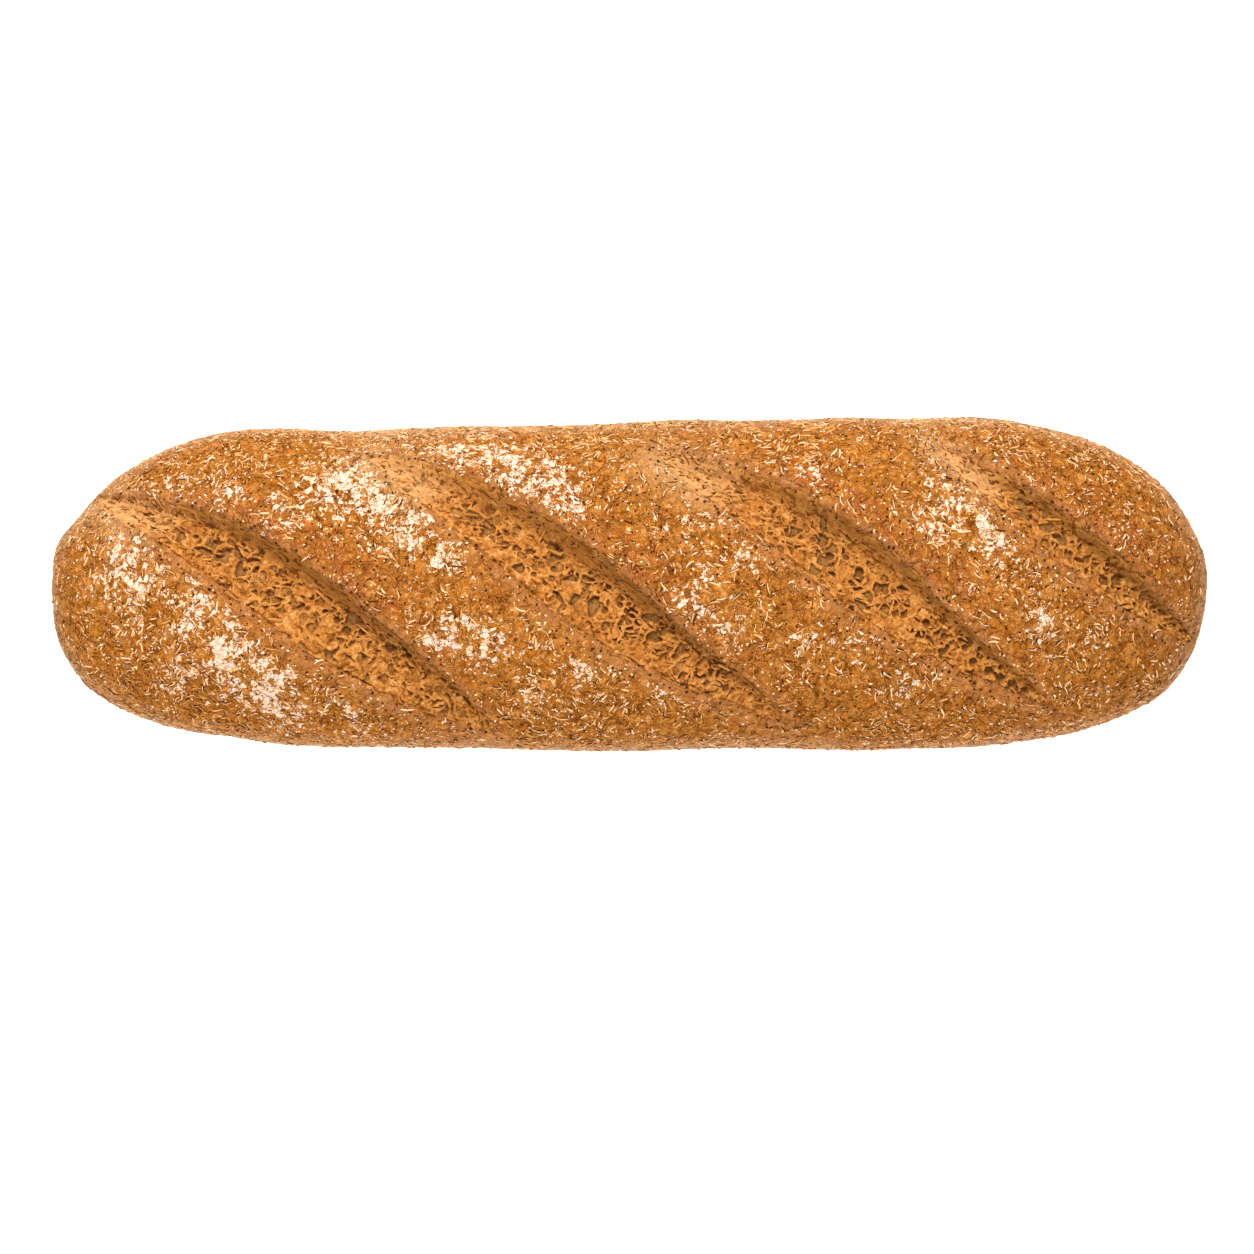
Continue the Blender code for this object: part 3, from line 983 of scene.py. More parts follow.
def make_strands(random):
    """The looser strands, which lie on top of the crumb as tubes of their own."""
    centres, radii, ups, tones = [], [], [], []
    for cut in CUTS:
        forward, sideways, radius, lift = strand_curves(cut, random, LOOSE_STRANDS_PER_AREA)
        count = len(forward)
        base, normal, broad = crumb_surface(cut, forward.ravel() / cut_axes(cut)[2], sideways.ravel())
        centre = base + normal * (broad + lift.ravel() + LOOSE_LIFT)[:, None]
        centres.append(centre.reshape(count, STRAND_POINTS, 3))
        ups.append(normal.reshape(count, STRAND_POINTS, 3))
        radii.append(radius * LOOSE_THINNESS)
        tones.append(random.uniform(0.0, 1.0, count))
    centres, radii, ups, tones = (np.concatenate(parts) for parts in (centres, radii, ups, tones))
    angle = np.linspace(0.0, 2 * math.pi, STRAND_SIDES, endpoint=False)
    section = np.column_stack((STRAND_FLATNESS * np.cos(angle), np.sin(angle)))
    finish_piece(tubes("crumb_strands", centres, radii, ups, section, {"tone": tones}), strand_material())


def bent_lines(heading, bend, length, steps):
    """(forward, sideways) of lines that turn evenly by bend, centred on 0: one row for each."""
    turned = heading[:, None] + bend[:, None] * np.linspace(-0.5, 0.5, steps)
    step = length[:, None] / (steps - 1)
    forward, sideways = np.cumsum(np.cos(turned) * step, axis=1), np.cumsum(np.sin(turned) * step, axis=1)
    return forward - forward.mean(axis=1)[:, None], sideways - sideways.mean(axis=1)[:, None]


def strip_radii(random, widths, count):
    """Half the width of thin strips at each of their points: fullest in the middle."""
    bulge = np.sin(math.pi * np.linspace(0.0, 1.0, STRIP_POINTS))
    return random.uniform(*widths, count)[:, None] * (STRIP_END_SHARE + (1.0 - STRIP_END_SHARE) * bulge)


def make_bran(reliefs):
    """The flecks of bran in the crumb: short dark strips, mostly along the cut, fewer where it is rough."""
    random = np.random.default_rng(SEED + 3)
    centres, ups = [], []
    for cut, relief in zip(CUTS, reliefs):
        length = cut_axes(cut)[2]
        count = int(BRAN_PER_AREA * length * cut["width"])
        along, place = random.uniform(*BRAN_ALONG, count), random.uniform(*BRAN_ACROSS, count)
        rough = (place >= ROUGH_ACROSS[0]) & (place <= ROUGH_ACROSS[1])
        rough &= (along >= ROUGH_ALONG[0]) & (along <= ROUGH_ALONG[1])
        keep = ~rough | (random.uniform(0.0, 1.0, count) < BRAN_SHOWN)
        along, place = along[keep], place[keep]
        kept = len(along)
        heading = random.normal(0.0, BRAN_STRAY, kept)
        bend = random.normal(0.0, BRAN_BEND, kept)
        ahead, aside = bent_lines(heading, bend, random.uniform(*BRAN_LENGTHS, kept), STRIP_POINTS)
        forward = np.clip(along[:, None] + ahead / length, 0.0, 1.0).ravel()
        across = ((place * cut_half_width(cut, along))[:, None] + aside).ravel()
        share = np.clip(across / (cut_half_width(cut, forward) + SHEET_MARGIN), -1.0, 1.0)
        row = np.round(forward * (relief.shape[0] - 1)).astype(int)
        column = np.round((share + 1.0) / 2 * (relief.shape[1] - 1)).astype(int)
        base, normal, broad = crumb_surface(cut, forward, across)
        centre = base + normal * (broad + relief[row, column] + BRAN_LIFT)[:, None]
        centres.append(centre.reshape(-1, STRIP_POINTS, 3))
        ups.append(normal.reshape(-1, STRIP_POINTS, 3))
    centres, ups = np.concatenate(centres), np.concatenate(ups)
    radii = strip_radii(random, BRAN_WIDTHS, len(centres))
    tones = random.uniform(0.0, 1.0, len(centres))
    bran = tubes("bran_flecks", centres, radii, ups, STRIP_SECTION, {"tone": tones})
    finish_piece(bran, bran_material())


def make_crumbs():
    """The torn crumb of each cut, with its loose strands and its bran."""
    random = np.random.default_rng(SEED)
    material = crumb_material()
    reliefs = []
    for index, cut in enumerate(CUTS):
        crumb, relief = make_crumb(index, cut, strand_curves(cut, random, STRANDS_PER_AREA))
        finish_piece(crumb, material)
        reliefs.append(relief)
    make_strands(random)
    make_bran(reliefs)


# How far round the crust things are scattered, and how far from the cuts. Patches below are as in patchy, and
# a power above 1 makes small things common.
SCATTER_TURN = 0.15
EDGE_CLEARANCE = 0.0002

# Flakes of the crackle: their count and sizes, how they lie, and how close to the loaf's tips they come
CRACKLE_COUNT = 4200
CRACKLE_PATCHES = (0.5, 1.2, 0.007)
CRACKLE_LENGTHS = (0.0005, 0.0030)
CRACKLE_POWER = 1.5
CRACKLE_WIDTHS = (0.00018, 0.00034)
CRACKLE_BEND = 0.65
CRACKLE_LIFT = 0.00010
FLOW_SIZE = 0.012
FLOW_TURN = 4.0
FLOW_STRAY = 0.45
TIP_MARGIN = 0.0003
MEASURE_STEP = 1e-4
LEAST_PER_TURN = 0.004

# Flakes with both a pale edge, painted as a highlight, and a crack that also stands for painted shadow beside
# it, or only a crack; the others have only the edge
BOTH_SHARE = 0.45
BOTH_LANES = (0.0, 0.0, 1.0, 1.0)
BOTH_WIDENING = 1.3
CRACK_ONLY_SHARE = 0.25
ALONE_WIDENING = 0.9
LIGHT_POWER = 1.5
LIGHT_LOST_AT_SIDES = 0.3
DARKNESS = (0.3, 1.0)
DARK_LOST_AT_SIDES = 0.8

# Loose flakes of flour
FLAKE_COUNT = 1500
FLAKE_SIZES = (0.00035, 0.00120)
FLAKE_POWER = 1.6
FLAKE_SIDES = 8
FLAKE_SLIMNESS = (0.18, 0.8)
FLAKE_REACH = (0.30, 1.0)
FLAKE_TILT = 0.00005
FLAKE_THICKNESS = (0.00008, 0.00022)
FLAKE_RIM_DEPTH = 0.00006
FLAKE_ROOT_DEPTH = 0.00015
FLAKE_CLUMPS = (-0.1, 2.6, 0.0026)
FLAKES_UNCLUMPED = 0.06
FLAKES_WHERE_THICK = 1.3

# Grains of bran
GRAIN_COUNT = 2800
GRAIN_SIZES = (0.00015, 0.00034)
GRAIN_STRETCH = (1.0, 2.2)
GRAIN_FLATNESS = 0.6
GRAIN_PATCHES = (0.45, 1.6, 0.006)


def crust_places(random, count, likely):
    """(x, turn) of random points on the crust's upper side, as thick as likely says, and none in the cuts."""
    found = np.empty((2, 0))
    while found.shape[1] < count:
        x = random.uniform(-LENGTH / 2, LENGTH / 2, count)
        turn = random.uniform(-SCATTER_TURN, math.pi + SCATTER_TURN, count)
        base = dough_surface(x, turn)
        keep = random.uniform(0.0, 1.0, count) < likely(base) * end_taper(x)
        keep &= inside_cuts(base, 0.0) < -EDGE_CLEARANCE
        found = np.concatenate((found, (x[keep], turn[keep])), axis=1)
    return found[:, :count]


def mostly_small(random, sizes, power, count):
    """Random sizes between two limits. The higher the power, the more of them are small."""
    return random.uniform(0.0, 1.0, count) ** power * (sizes[1] - sizes[0]) + sizes[0]


def on_crust(x, turn):
    """(point, normal) on the finished crust."""
    base, normal = dough_surface(x, turn), dough_normal(x, turn)
    relief = cut_form(base) + lumps(base) + crust_detail(base)[0]
    return base + normal * relief[:, None], normal


def tangents(normal, angle):
    """Two directions along the surface at right angles, the first turned by angle."""
    side = np.cross(normal, (0.0, 0.0, 1.0)) + (1e-6, 0.0, 0.0)
    side /= np.linalg.norm(side, axis=1)[:, None]
    other = np.cross(normal, side)
    first = side * np.cos(angle)[:, None] + other * np.sin(angle)[:, None]
    return first, np.cross(normal, first)


def make_flakes():
    """The crackle's flakes: thin bent strips with a pale edge painted as highlight, a dark crack and painted
    shadow beside it, or one of them.
    """
    def likely(points):
        return patchy(points, *CRACKLE_PATCHES) * (1.0 - torn_edge_at(points))

    random = np.random.default_rng(SEED + 4)
    x, turn = crust_places(random, CRACKLE_COUNT, likely)
    base = dough_surface(x, turn)
    side = side_at(base)
    flow = FLOW_TURN * noise_at(base, FLOW_SIZE) * (1.0 - side)
    heading = flow + random.normal(0.0, FLOW_STRAY, CRACKLE_COUNT)
    length = mostly_small(random, CRACKLE_LENGTHS, CRACKLE_POWER, CRACKLE_COUNT)
    bend = random.normal(0.0, CRACKLE_BEND, CRACKLE_COUNT)
    forward, sideways = bent_lines(heading, bend, length, STRIP_POINTS)
    per_x = np.linalg.norm(dough_surface(x + MEASURE_STEP, turn) - base, axis=1) / MEASURE_STEP
    per_turn = np.linalg.norm(dough_surface(x, turn + MEASURE_STEP) - base, axis=1) / MEASURE_STEP
    line_x = x[:, None] + forward / np.maximum(per_x, 1.0)[:, None]
    line_x = np.clip(line_x, -LENGTH / 2 + TIP_MARGIN, LENGTH / 2 - TIP_MARGIN)
    line_turn = turn[:, None] + sideways / np.maximum(per_turn, LEAST_PER_TURN)[:, None]
    point, normal = on_crust(line_x.ravel(), line_turn.ravel())
    centres = (point + normal * CRACKLE_LIFT).reshape(-1, STRIP_POINTS, 3)
    ups = normal.reshape(-1, STRIP_POINTS, 3)

    kind = random.uniform(0.0, 1.0, CRACKLE_COUNT)
    both = kind < BOTH_SHARE
    only_crack = kind > 1.0 - CRACK_ONLY_SHARE
    lanes = np.where(both[:, None], BOTH_LANES, only_crack[:, None] * np.ones(len(STRIP_SECTION)))
    radii = strip_radii(random, CRACKLE_WIDTHS, CRACKLE_COUNT)
    radii *= np.where(both, BOTH_WIDENING, ALONE_WIDENING)[:, None]
    # How bright each painted highlight is, and how dark each crack with its painted shadow is
    light = random.uniform(0.0, 1.0, CRACKLE_COUNT) ** LIGHT_POWER * (1.0 - LIGHT_LOST_AT_SIDES * side)
    dark = random.uniform(*DARKNESS, CRACKLE_COUNT) * (1.0 - DARK_LOST_AT_SIDES * side)
    values = {"light": light, "dark": dark}
    flakes = tubes("crust_flakes", centres, radii, ups, STRIP_SECTION, values, lanes)
    finish_piece(flakes, flake_material())


def make_flour():
    """Loose flakes of flour: ragged flat shapes with a low peak, rooted in the crust."""
    random = np.random.default_rng(SEED + 1)
    point, normal = on_crust(*crust_places(random, FLAKE_COUNT, floury))
    first, second = tangents(normal, random.uniform(0.0, 2 * math.pi, FLAKE_COUNT))
    size = mostly_small(random, FLAKE_SIZES, FLAKE_POWER, FLAKE_COUNT)
    slim = random.uniform(*FLAKE_SLIMNESS, FLAKE_COUNT)
    angle = np.linspace(0.0, 2 * math.pi, FLAKE_SIDES, endpoint=False)
    angle = angle + random.uniform(0.0, 1.0, (FLAKE_COUNT, 1))
    reach = size[:, None] * random.uniform(*FLAKE_REACH, (FLAKE_COUNT, FLAKE_SIDES))
    forward = (np.cos(angle) * reach)[:, :, None] * first[:, None]
    sideways = (np.sin(angle) * reach * slim[:, None])[:, :, None] * second[:, None]
    tilt = random.normal(0.0, FLAKE_TILT, (FLAKE_COUNT, FLAKE_SIDES))[:, :, None] * normal[:, None]
    rim = point[:, None] + forward + sideways + tilt - FLAKE_RIM_DEPTH * normal[:, None]
    thickness = random.uniform(*FLAKE_THICKNESS, FLAKE_COUNT)[:, None]
    peak = (point + normal * thickness)[:, None]
    root = (point - normal * FLAKE_ROOT_DEPTH)[:, None]
    points = np.concatenate((rim, peak, root), axis=1)
    corner = np.arange(FLAKE_SIDES)
    following = (corner + 1) % FLAKE_SIDES
    top = np.stack((corner, following, np.full(FLAKE_SIDES, FLAKE_SIDES)), axis=1)
    bottom = np.stack((following, corner, np.full(FLAKE_SIDES, FLAKE_SIDES + 1)), axis=1)
    faces = [repeated(group, FLAKE_COUNT, FLAKE_SIDES + 2) for group in (top, bottom)]
    finish_piece(put_mesh("flour", points.reshape(-1, 3), faces), flour_material())


def floury(points):
    """The chance of a flake of flour: high where flour lies thick, in small clumps."""
    clumped = FLAKES_UNCLUMPED + (1.0 - FLAKES_UNCLUMPED) * patchy(points, *FLAKE_CLUMPS)
    return flour_at(points) ** FLAKES_WHERE_THICK * clumped


def make_grains():
    """Small rounded grains of bran that stick to the crust."""
    random = np.random.default_rng(SEED + 2)
    places = crust_places(random, GRAIN_COUNT, lambda points: patchy(points, *GRAIN_PATCHES))
    point, normal = on_crust(*places)
    first, second = tangents(normal, random.uniform(0.0, 2 * math.pi, GRAIN_COUNT))
    size = random.uniform(*GRAIN_SIZES, GRAIN_COUNT)
    longer = random.uniform(*GRAIN_STRETCH, GRAIN_COUNT)
    bpy.ops.mesh.primitive_ico_sphere_add(subdivisions=1, radius=1.0)
    pattern = bpy.context.object
    shape = np.array([vertex.co for vertex in pattern.data.vertices])
    triangles = np.array([list(face.vertices) for face in pattern.data.polygons])
    bpy.data.objects.remove(pattern)
    local = size[:, None, None] * shape
    points = point[:, None] + local[:, :, :1] * longer[:, None, None] * first[:, None]
    points += local[:, :, 1:2] * second[:, None] + GRAIN_FLATNESS * local[:, :, 2:] * normal[:, None]
    tones = np.repeat(random.uniform(0.0, 1.0, GRAIN_COUNT), len(shape))
    faces = [repeated(triangles, GRAIN_COUNT, len(shape))]
    grains = put_mesh("bran_grains", points.reshape(-1, 3), faces, {"tone": tones})
    finish_piece(grains, grain_material())


# How rough and how shiny the bread is where nothing else is said
FOOD_ROUGHNESS = 0.85
FOOD_SPECULAR = 0.02


class Shader:
    """Adds nodes to one material. A value that is given may be a number, a colour or a node's output."""

    def __init__(self, name):
        self.material = bpy.data.materials.new(name)
        self.material.use_nodes = True
        self.tree = self.material.node_tree
        self.principled = self.tree.nodes["Principled BSDF"]
        self.place = self.add("ShaderNodeTexCoord").outputs["Object"]

    def add(self, kind, inputs=None, **settings):
        node = self.tree.nodes.new(kind)
        for title, value in settings.items():
            setattr(node, title, value)
        for title, value in (inputs or {}).items():
            self.give(node.inputs[title], value)
        return node

    def give(self, socket, value):
        if isinstance(value, bpy.types.NodeSocket):
            self.tree.links.new(value, socket)
        else:
            socket.default_value = value

    def attribute(self, name):
        return self.add("ShaderNodeAttribute", attribute_name=name).outputs["Fac"]

    def math(self, operation, first, second=0.0):
        return self.add("ShaderNodeMath", {0: first, 1: second}, operation=operation).outputs[0]

    def noise(self, size, detail=2.0, roughness=0.5, at=None):
        inputs = {"Vector": at or self.place, "Scale": 1.0 / size, "Detail": detail, "Roughness": roughness}
        return self.add("ShaderNodeTexNoise", inputs).outputs["Fac"]

    def cells(self, size, feature="F1", output="Distance", at=None):
        inputs = {"Vector": at or self.place, "Scale": 1.0 / size}
        return self.add("ShaderNodeTexVoronoi", inputs, feature=feature).outputs[output]

    def vector(self, operation, first, second):
        return self.add("ShaderNodeVectorMath", {0: first, 1: second}, operation=operation).outputs[0]

    def shifted(self, by, at=None):
        return self.vector("ADD", at or self.place, by)

    def warped(self, size, distance, at=None):
        """The place moved about by noise, so that a pattern drawn there is bent."""
        inputs = {"Vector": at or self.place, "Scale": 1.0 / size, "Detail": 2.0}
        wander = self.add("ShaderNodeTexNoise", inputs).outputs["Color"]
        centred = self.vector("SUBTRACT", wander, (0.5, 0.5, 0.5))
        scaled = self.add("ShaderNodeVectorMath", {0: centred, "Scale": 2.0 * distance}, operation="SCALE")
        return self.shifted(scaled.outputs[0], at)

    def combed(self, degrees, stretch):
        """The place turned about Z and drawn out, so that a pattern there runs in that direction."""
        turned = self.add("ShaderNodeVectorRotate", {"Vector": self.place, "Angle": -math.radians(degrees)})
        return self.vector("MULTIPLY", turned.outputs[0], (1.0 / stretch, 1.0, 1.0))

    def stretched(self, shares):
        """The place drawn out along each axis: a share below 1 makes a pattern there longer."""
        return self.vector("MULTIPLY", self.place, shares)

    def band(self, value, low, high):
        """0 below low and 1 above high, or the other way round where low is more than high."""
        if low > high:
            return self.math("SUBTRACT", 1.0, self.band(value, high, low))
        inputs = {"Value": value, "From Min": low, "From Max": high}
        return self.add("ShaderNodeMapRange", inputs, interpolation_type="SMOOTHSTEP").outputs["Result"]

    def between(self, value, low, full, still_full, high):
        """1 from full to still_full, falling to 0 at low and at high."""
        return self.math("MULTIPLY", self.band(value, low, full), self.band(value, high, still_full))

    def veins(self, size, width, at=None, detail=2.0):
        """1 on thin winding lines, where noise crosses its middle value."""
        away = self.math("ABSOLUTE", self.math("SUBTRACT", self.noise(size, detail, 0.55, at), 0.5))
        return self.band(away, width, 0.0)

    def mix(self, share, first, second):
        node = self.add("ShaderNodeMix", data_type="RGBA")
        self.give(node.inputs[0], share)
        self.give(node.inputs[6], first)
        self.give(node.inputs[7], second)
        return node.outputs[2]

    def ramp(self, value, stops):
        """A colour for each value: stops are values with their colours, in rising order."""
        node = self.add("ShaderNodeValToRGB", {"Fac": value})
        elements = node.color_ramp.elements
        while len(elements) < len(stops):
            elements.new(0.5)
        for element, (position, colour) in zip(elements, stops):
            element.position = position
            element.color = colour
        return node.outputs["Color"]

    def share(self, value, part):
        return self.math("MULTIPLY", value, part)

    def tinted(self, colour, name, part, tint):
        """The colour, with that part of a tint where the attribute of that name is 1."""
        return self.mix(self.share(self.attribute(name), part), colour, tint)

    def bump(self, height, distance, strength=1.0):
        inputs = {"Height": height, "Distance": distance, "Strength": strength}
        return self.add("ShaderNodeBump", inputs).outputs["Normal"]

    def finish(self, colour, normal=None, roughness=FOOD_ROUGHNESS, specular=FOOD_SPECULAR):
        self.give(self.principled.inputs["Base Color"], colour)
        self.give(self.principled.inputs["Roughness"], roughness)
        self.principled.inputs["Specular IOR Level"].default_value = specular
        if normal is not None:
            self.give(self.principled.inputs["Normal"], normal)
        return self.material


# Sizes of the patterns on the crust, in metres. A bend or curl is how large its waves are and how far they
# move the pattern.
CRUST_BEND = (0.0040, 0.0030)
CRUST_CURL = (0.0018, 0.0020)
BROAD_TONE_SIZE = 0.0042
FINE_TONE_SIZE = 0.0015
BLUSH_PATCH_SIZE = 0.004
FOLD_SIZE = 0.0019
LINE_SIZE = 0.0032
LINE_PATCH_SIZE = 0.0034
CRUST_PORE_SIZE = 0.0018
PORE_BEND = (0.0008, 0.0003)
CRUST_BUMP = 0.0012

# The lines low on the sides, and how far they are drawn out along X, Y and Z
RIM_LINE_SIZE = 0.0017
RIM_BEND = (0.0060, 0.0030)
RIM_STRETCH = (0.28, 0.28, 0.42)

# The dusting of flour, and the loose flakes and grains
FLOUR_RAG_SIZE = 0.0011
FLOUR_CHUNK_SIZE = 0.0015
FLOUR_CHUNK_BEND = (0.0009, 0.0005)
FLOUR_CLUMP_SIZE = 0.0045
FLOUR_GRAIN_SIZE = 0.0005
FLOUR_BUMP = 0.0001
FLOUR_ROUGHNESS = 0.9
BRAN_GRAIN_SIZE = 0.0004
GRAIN_ROUGHNESS = 0.8

# The patterns on the crumb, and the direction in which all the cuts roughly run, seen from above
CRUMB_BEND = (0.0024, 0.0016)
CRUMB_CURL = (0.0010, 0.0006)
BROAD_CRUMB_SIZE = 0.0032
FINE_CRUMB_SIZE = 0.0013
CUT_DEGREES = -32.0
DASH_SIZE = 0.0011
DASH_BEND = (0.0020, 0.0006)
DASH_STRETCH = 4.0
CRUMB_PORE_SIZE = 0.0019
PORE_PATCH_SIZE = 0.003
CRUMB_BUMP = 0.0005
STRAND_GRAIN_SIZE = 0.0009
STRAND_BUMP = 0.0003

# Colours as they look on screen
CRUST_DARK = srgb(112, 56, 10)
CRUST_BROWN = srgb(152, 86, 24)
CRUST_ORANGE = srgb(192, 114, 34)
CRUST_GOLD = srgb(214, 138, 54)
CRUST_TAN = srgb(226, 168, 112)
CRUST_RED = srgb(182, 98, 48)
CRACK_AND_SHADOW_BROWN = srgb(116, 56, 8)
PORE_CRACK_AND_SHADOW_BROWN = srgb(70, 32, 6)
WRINKLE_HIGHLIGHT_TAN = srgb(252, 210, 162)
HIGHLIGHT_GOLD = srgb(236, 174, 106)
TORN_PINK = srgb(206, 138, 84)
TIP_TAN = srgb(234, 182, 122)
SIDE_TAN = srgb(240, 192, 146)
FLOUR_WHITE = srgb(236, 209, 186)
FLOUR_CREAM = srgb(236, 198, 158)
CRUMB_DARK = srgb(100, 52, 12)
CRUMB_BROWN = srgb(158, 96, 40)
CRUMB_ORANGE = srgb(184, 114, 48)
CRUMB_GOLD = srgb(206, 140, 70)
CRUMB_TAN = srgb(224, 164, 102)
GROOVE_SHADE_OLIVE = srgb(152, 100, 44)
LIP_SHADE_OLIVE = srgb(124, 80, 34)
HOLLOW_SHADE_OLIVE = srgb(142, 104, 58)
DARK_MARK_AND_SHADE_BROWN = srgb(112, 58, 14)
STRAND_DARK = srgb(178, 112, 50)
STRAND_PALE_AND_HIGHLIGHT = srgb(216, 150, 80)
GRAIN_AND_HIGHLIGHT_CREAM = srgb(244, 216, 180)
GRAIN_TAN = srgb(238, 192, 134)


def crust_material():
    shader = Shader("crust")
    bent = shader.warped(*CRUST_BEND)
    curled = shader.warped(*CRUST_CURL, bent)
    elsewhere = shader.shifted((0.5, 0.2, 0.4), curled)
    pale = shader.attribute("pale")
    side = shader.attribute("side")

    # The browned crust, and its colours by place
    broad = shader.share(shader.noise(BROAD_TONE_SIZE, 3.0, 0.55, bent), 0.50)
    fine = shader.noise(FINE_TONE_SIZE, 4.0, 0.70, curled)
    tone = shader.math("SUBTRACT", shader.math("ADD", fine, broad), 0.25)
    colour = shader.ramp(tone, (
        (0.25, CRUST_DARK), (0.37, CRUST_BROWN), (0.48, CRUST_ORANGE), (0.62, CRUST_GOLD), (0.80, CRUST_TAN),
    ))
    blush_patches = shader.band(shader.noise(BLUSH_PATCH_SIZE, 2.0), 0.35, 0.65)
    blush = shader.math("MULTIPLY", shader.attribute("blush"), blush_patches)
    colour = shader.mix(shader.share(blush, 0.8), colour, CRUST_RED)
    colour = shader.mix(shader.share(side, 0.85), colour, SIDE_TAN)
    # The groove: olive where it browned less, and darker still with painted shade
    colour = shader.tinted(colour, "groove", 0.7, GROOVE_SHADE_OLIVE)
    colour = shader.tinted(colour, "edge", 0.75, TORN_PINK)
    colour = shader.mix(shader.share(pale, 0.55), colour, TIP_TAN)
    # Painted shade along the foot of each cut's back wall
    colour = shader.tinted(colour, "lip_shade", 0.55, LIP_SHADE_OLIVE)

    # Lines low on the sides: pale wrinkles painted as highlights, and cracks
    drawn_out = shader.warped(*RIM_BEND, shader.stretched(RIM_STRETCH))
    rim = shader.math("MULTIPLY", side, side)
    rim_highlights = shader.math("MULTIPLY", shader.veins(RIM_LINE_SIZE, 0.040, drawn_out), rim)
    rim_cracks = shader.veins(RIM_LINE_SIZE, 0.030, shader.shifted((0.2, 0.3, 0.1), drawn_out))
    colour = shader.mix(shader.share(shader.math("MULTIPLY", rim_cracks, rim), 0.65), colour, CRUST_BROWN)
    colour = shader.mix(shader.share(rim_highlights, 0.6), colour, WRINKLE_HIGHLIGHT_TAN)

    # Folds with painted shadow at the foot and a painted golden highlight on the shoulder, dark lines, cracks
    # and pores
    fold = shader.noise(FOLD_SIZE, 2.0, 0.55, curled)
    rough = shader.math("SUBTRACT", 1.0, shader.math("MAXIMUM", pale, shader.attribute("edge")))
    under = shader.math("MULTIPLY", shader.between(fold, 0.415, 0.435, 0.455, 0.475), rough)
    fold_highlight = shader.math("MULTIPLY", shader.between(fold, 0.500, 0.515, 0.540, 0.560), rough)
    # Painted shadow at the foot of each fold, and a painted highlight on its shoulder
    colour = shader.mix(shader.share(under, 0.60), colour, CRACK_AND_SHADOW_BROWN)
    colour = shader.mix(shader.share(fold_highlight, 0.55), colour, HIGHLIGHT_GOLD)
    lined = shader.band(shader.noise(LINE_PATCH_SIZE, 2.0, 0.5, elsewhere), 0.50, 0.55)
    dark_lines = shader.math("MULTIPLY", shader.veins(LINE_SIZE, 0.026, elsewhere, 1.0), lined)
    colour = shader.mix(shader.share(dark_lines, 0.85), colour, CRACK_AND_SHADOW_BROWN)
    colour = shader.tinted(colour, "crack", 0.35, CRACK_AND_SHADOW_BROWN)
    around_pores = shader.shifted((0.3, 0.1, 0.2), shader.warped(*PORE_BEND))
    dots = shader.cells(CRUST_PORE_SIZE, "F1", "Distance", around_pores)
    dots = shader.math("SUBTRACT", dots, shader.share(shader.attribute("edge"), 0.08))
    pores = shader.band(dots, 0.21, 0.10)
    colour = shader.mix(shader.share(pores, 0.9), colour, PORE_CRACK_AND_SHADOW_BROWN)

    # The dusting of flour, in ragged chunks with thin gaps between them
    ragged = shader.noise(FLOUR_RAG_SIZE, 2.0, 0.55, curled)
    chunks = shader.warped(*FLOUR_CHUNK_BEND)
    draw = shader.cells(FLOUR_CHUNK_SIZE, "F1", "Color", chunks)
    gap = shader.cells(FLOUR_CHUNK_SIZE, "DISTANCE_TO_EDGE", "Distance", chunks)
    clump = shader.band(shader.noise(FLOUR_CLUMP_SIZE, 2.0, 0.5, bent), 0.27, 0.51)
    amount = shader.math("MULTIPLY", shader.attribute("flour"), clump)
    thick = shader.math("ADD", shader.share(amount, 0.33), ragged)
    thick = shader.math("ADD", thick, shader.share(shader.math("SUBTRACT", draw, 0.5), 0.5))
    dusted = shader.math("MULTIPLY", shader.band(thick, 0.800, 0.825), shader.band(gap, 0.02, 0.05))
    white = shader.ramp(shader.band(thick, 0.80, 0.92), ((0.0, FLOUR_CREAM), (0.5, FLOUR_WHITE)))
    colour = shader.mix(shader.share(dusted, 0.95), colour, white)

    height = shader.math("SUBTRACT", fine, shader.share(dark_lines, 0.5))
    height = shader.math("SUBTRACT", height, shader.share(pores, 0.5))
    plain = shader.math("SUBTRACT", 1.0, shader.share(dusted, 0.6))
    return shader.finish(colour, shader.bump(height, CRUST_BUMP, plain))


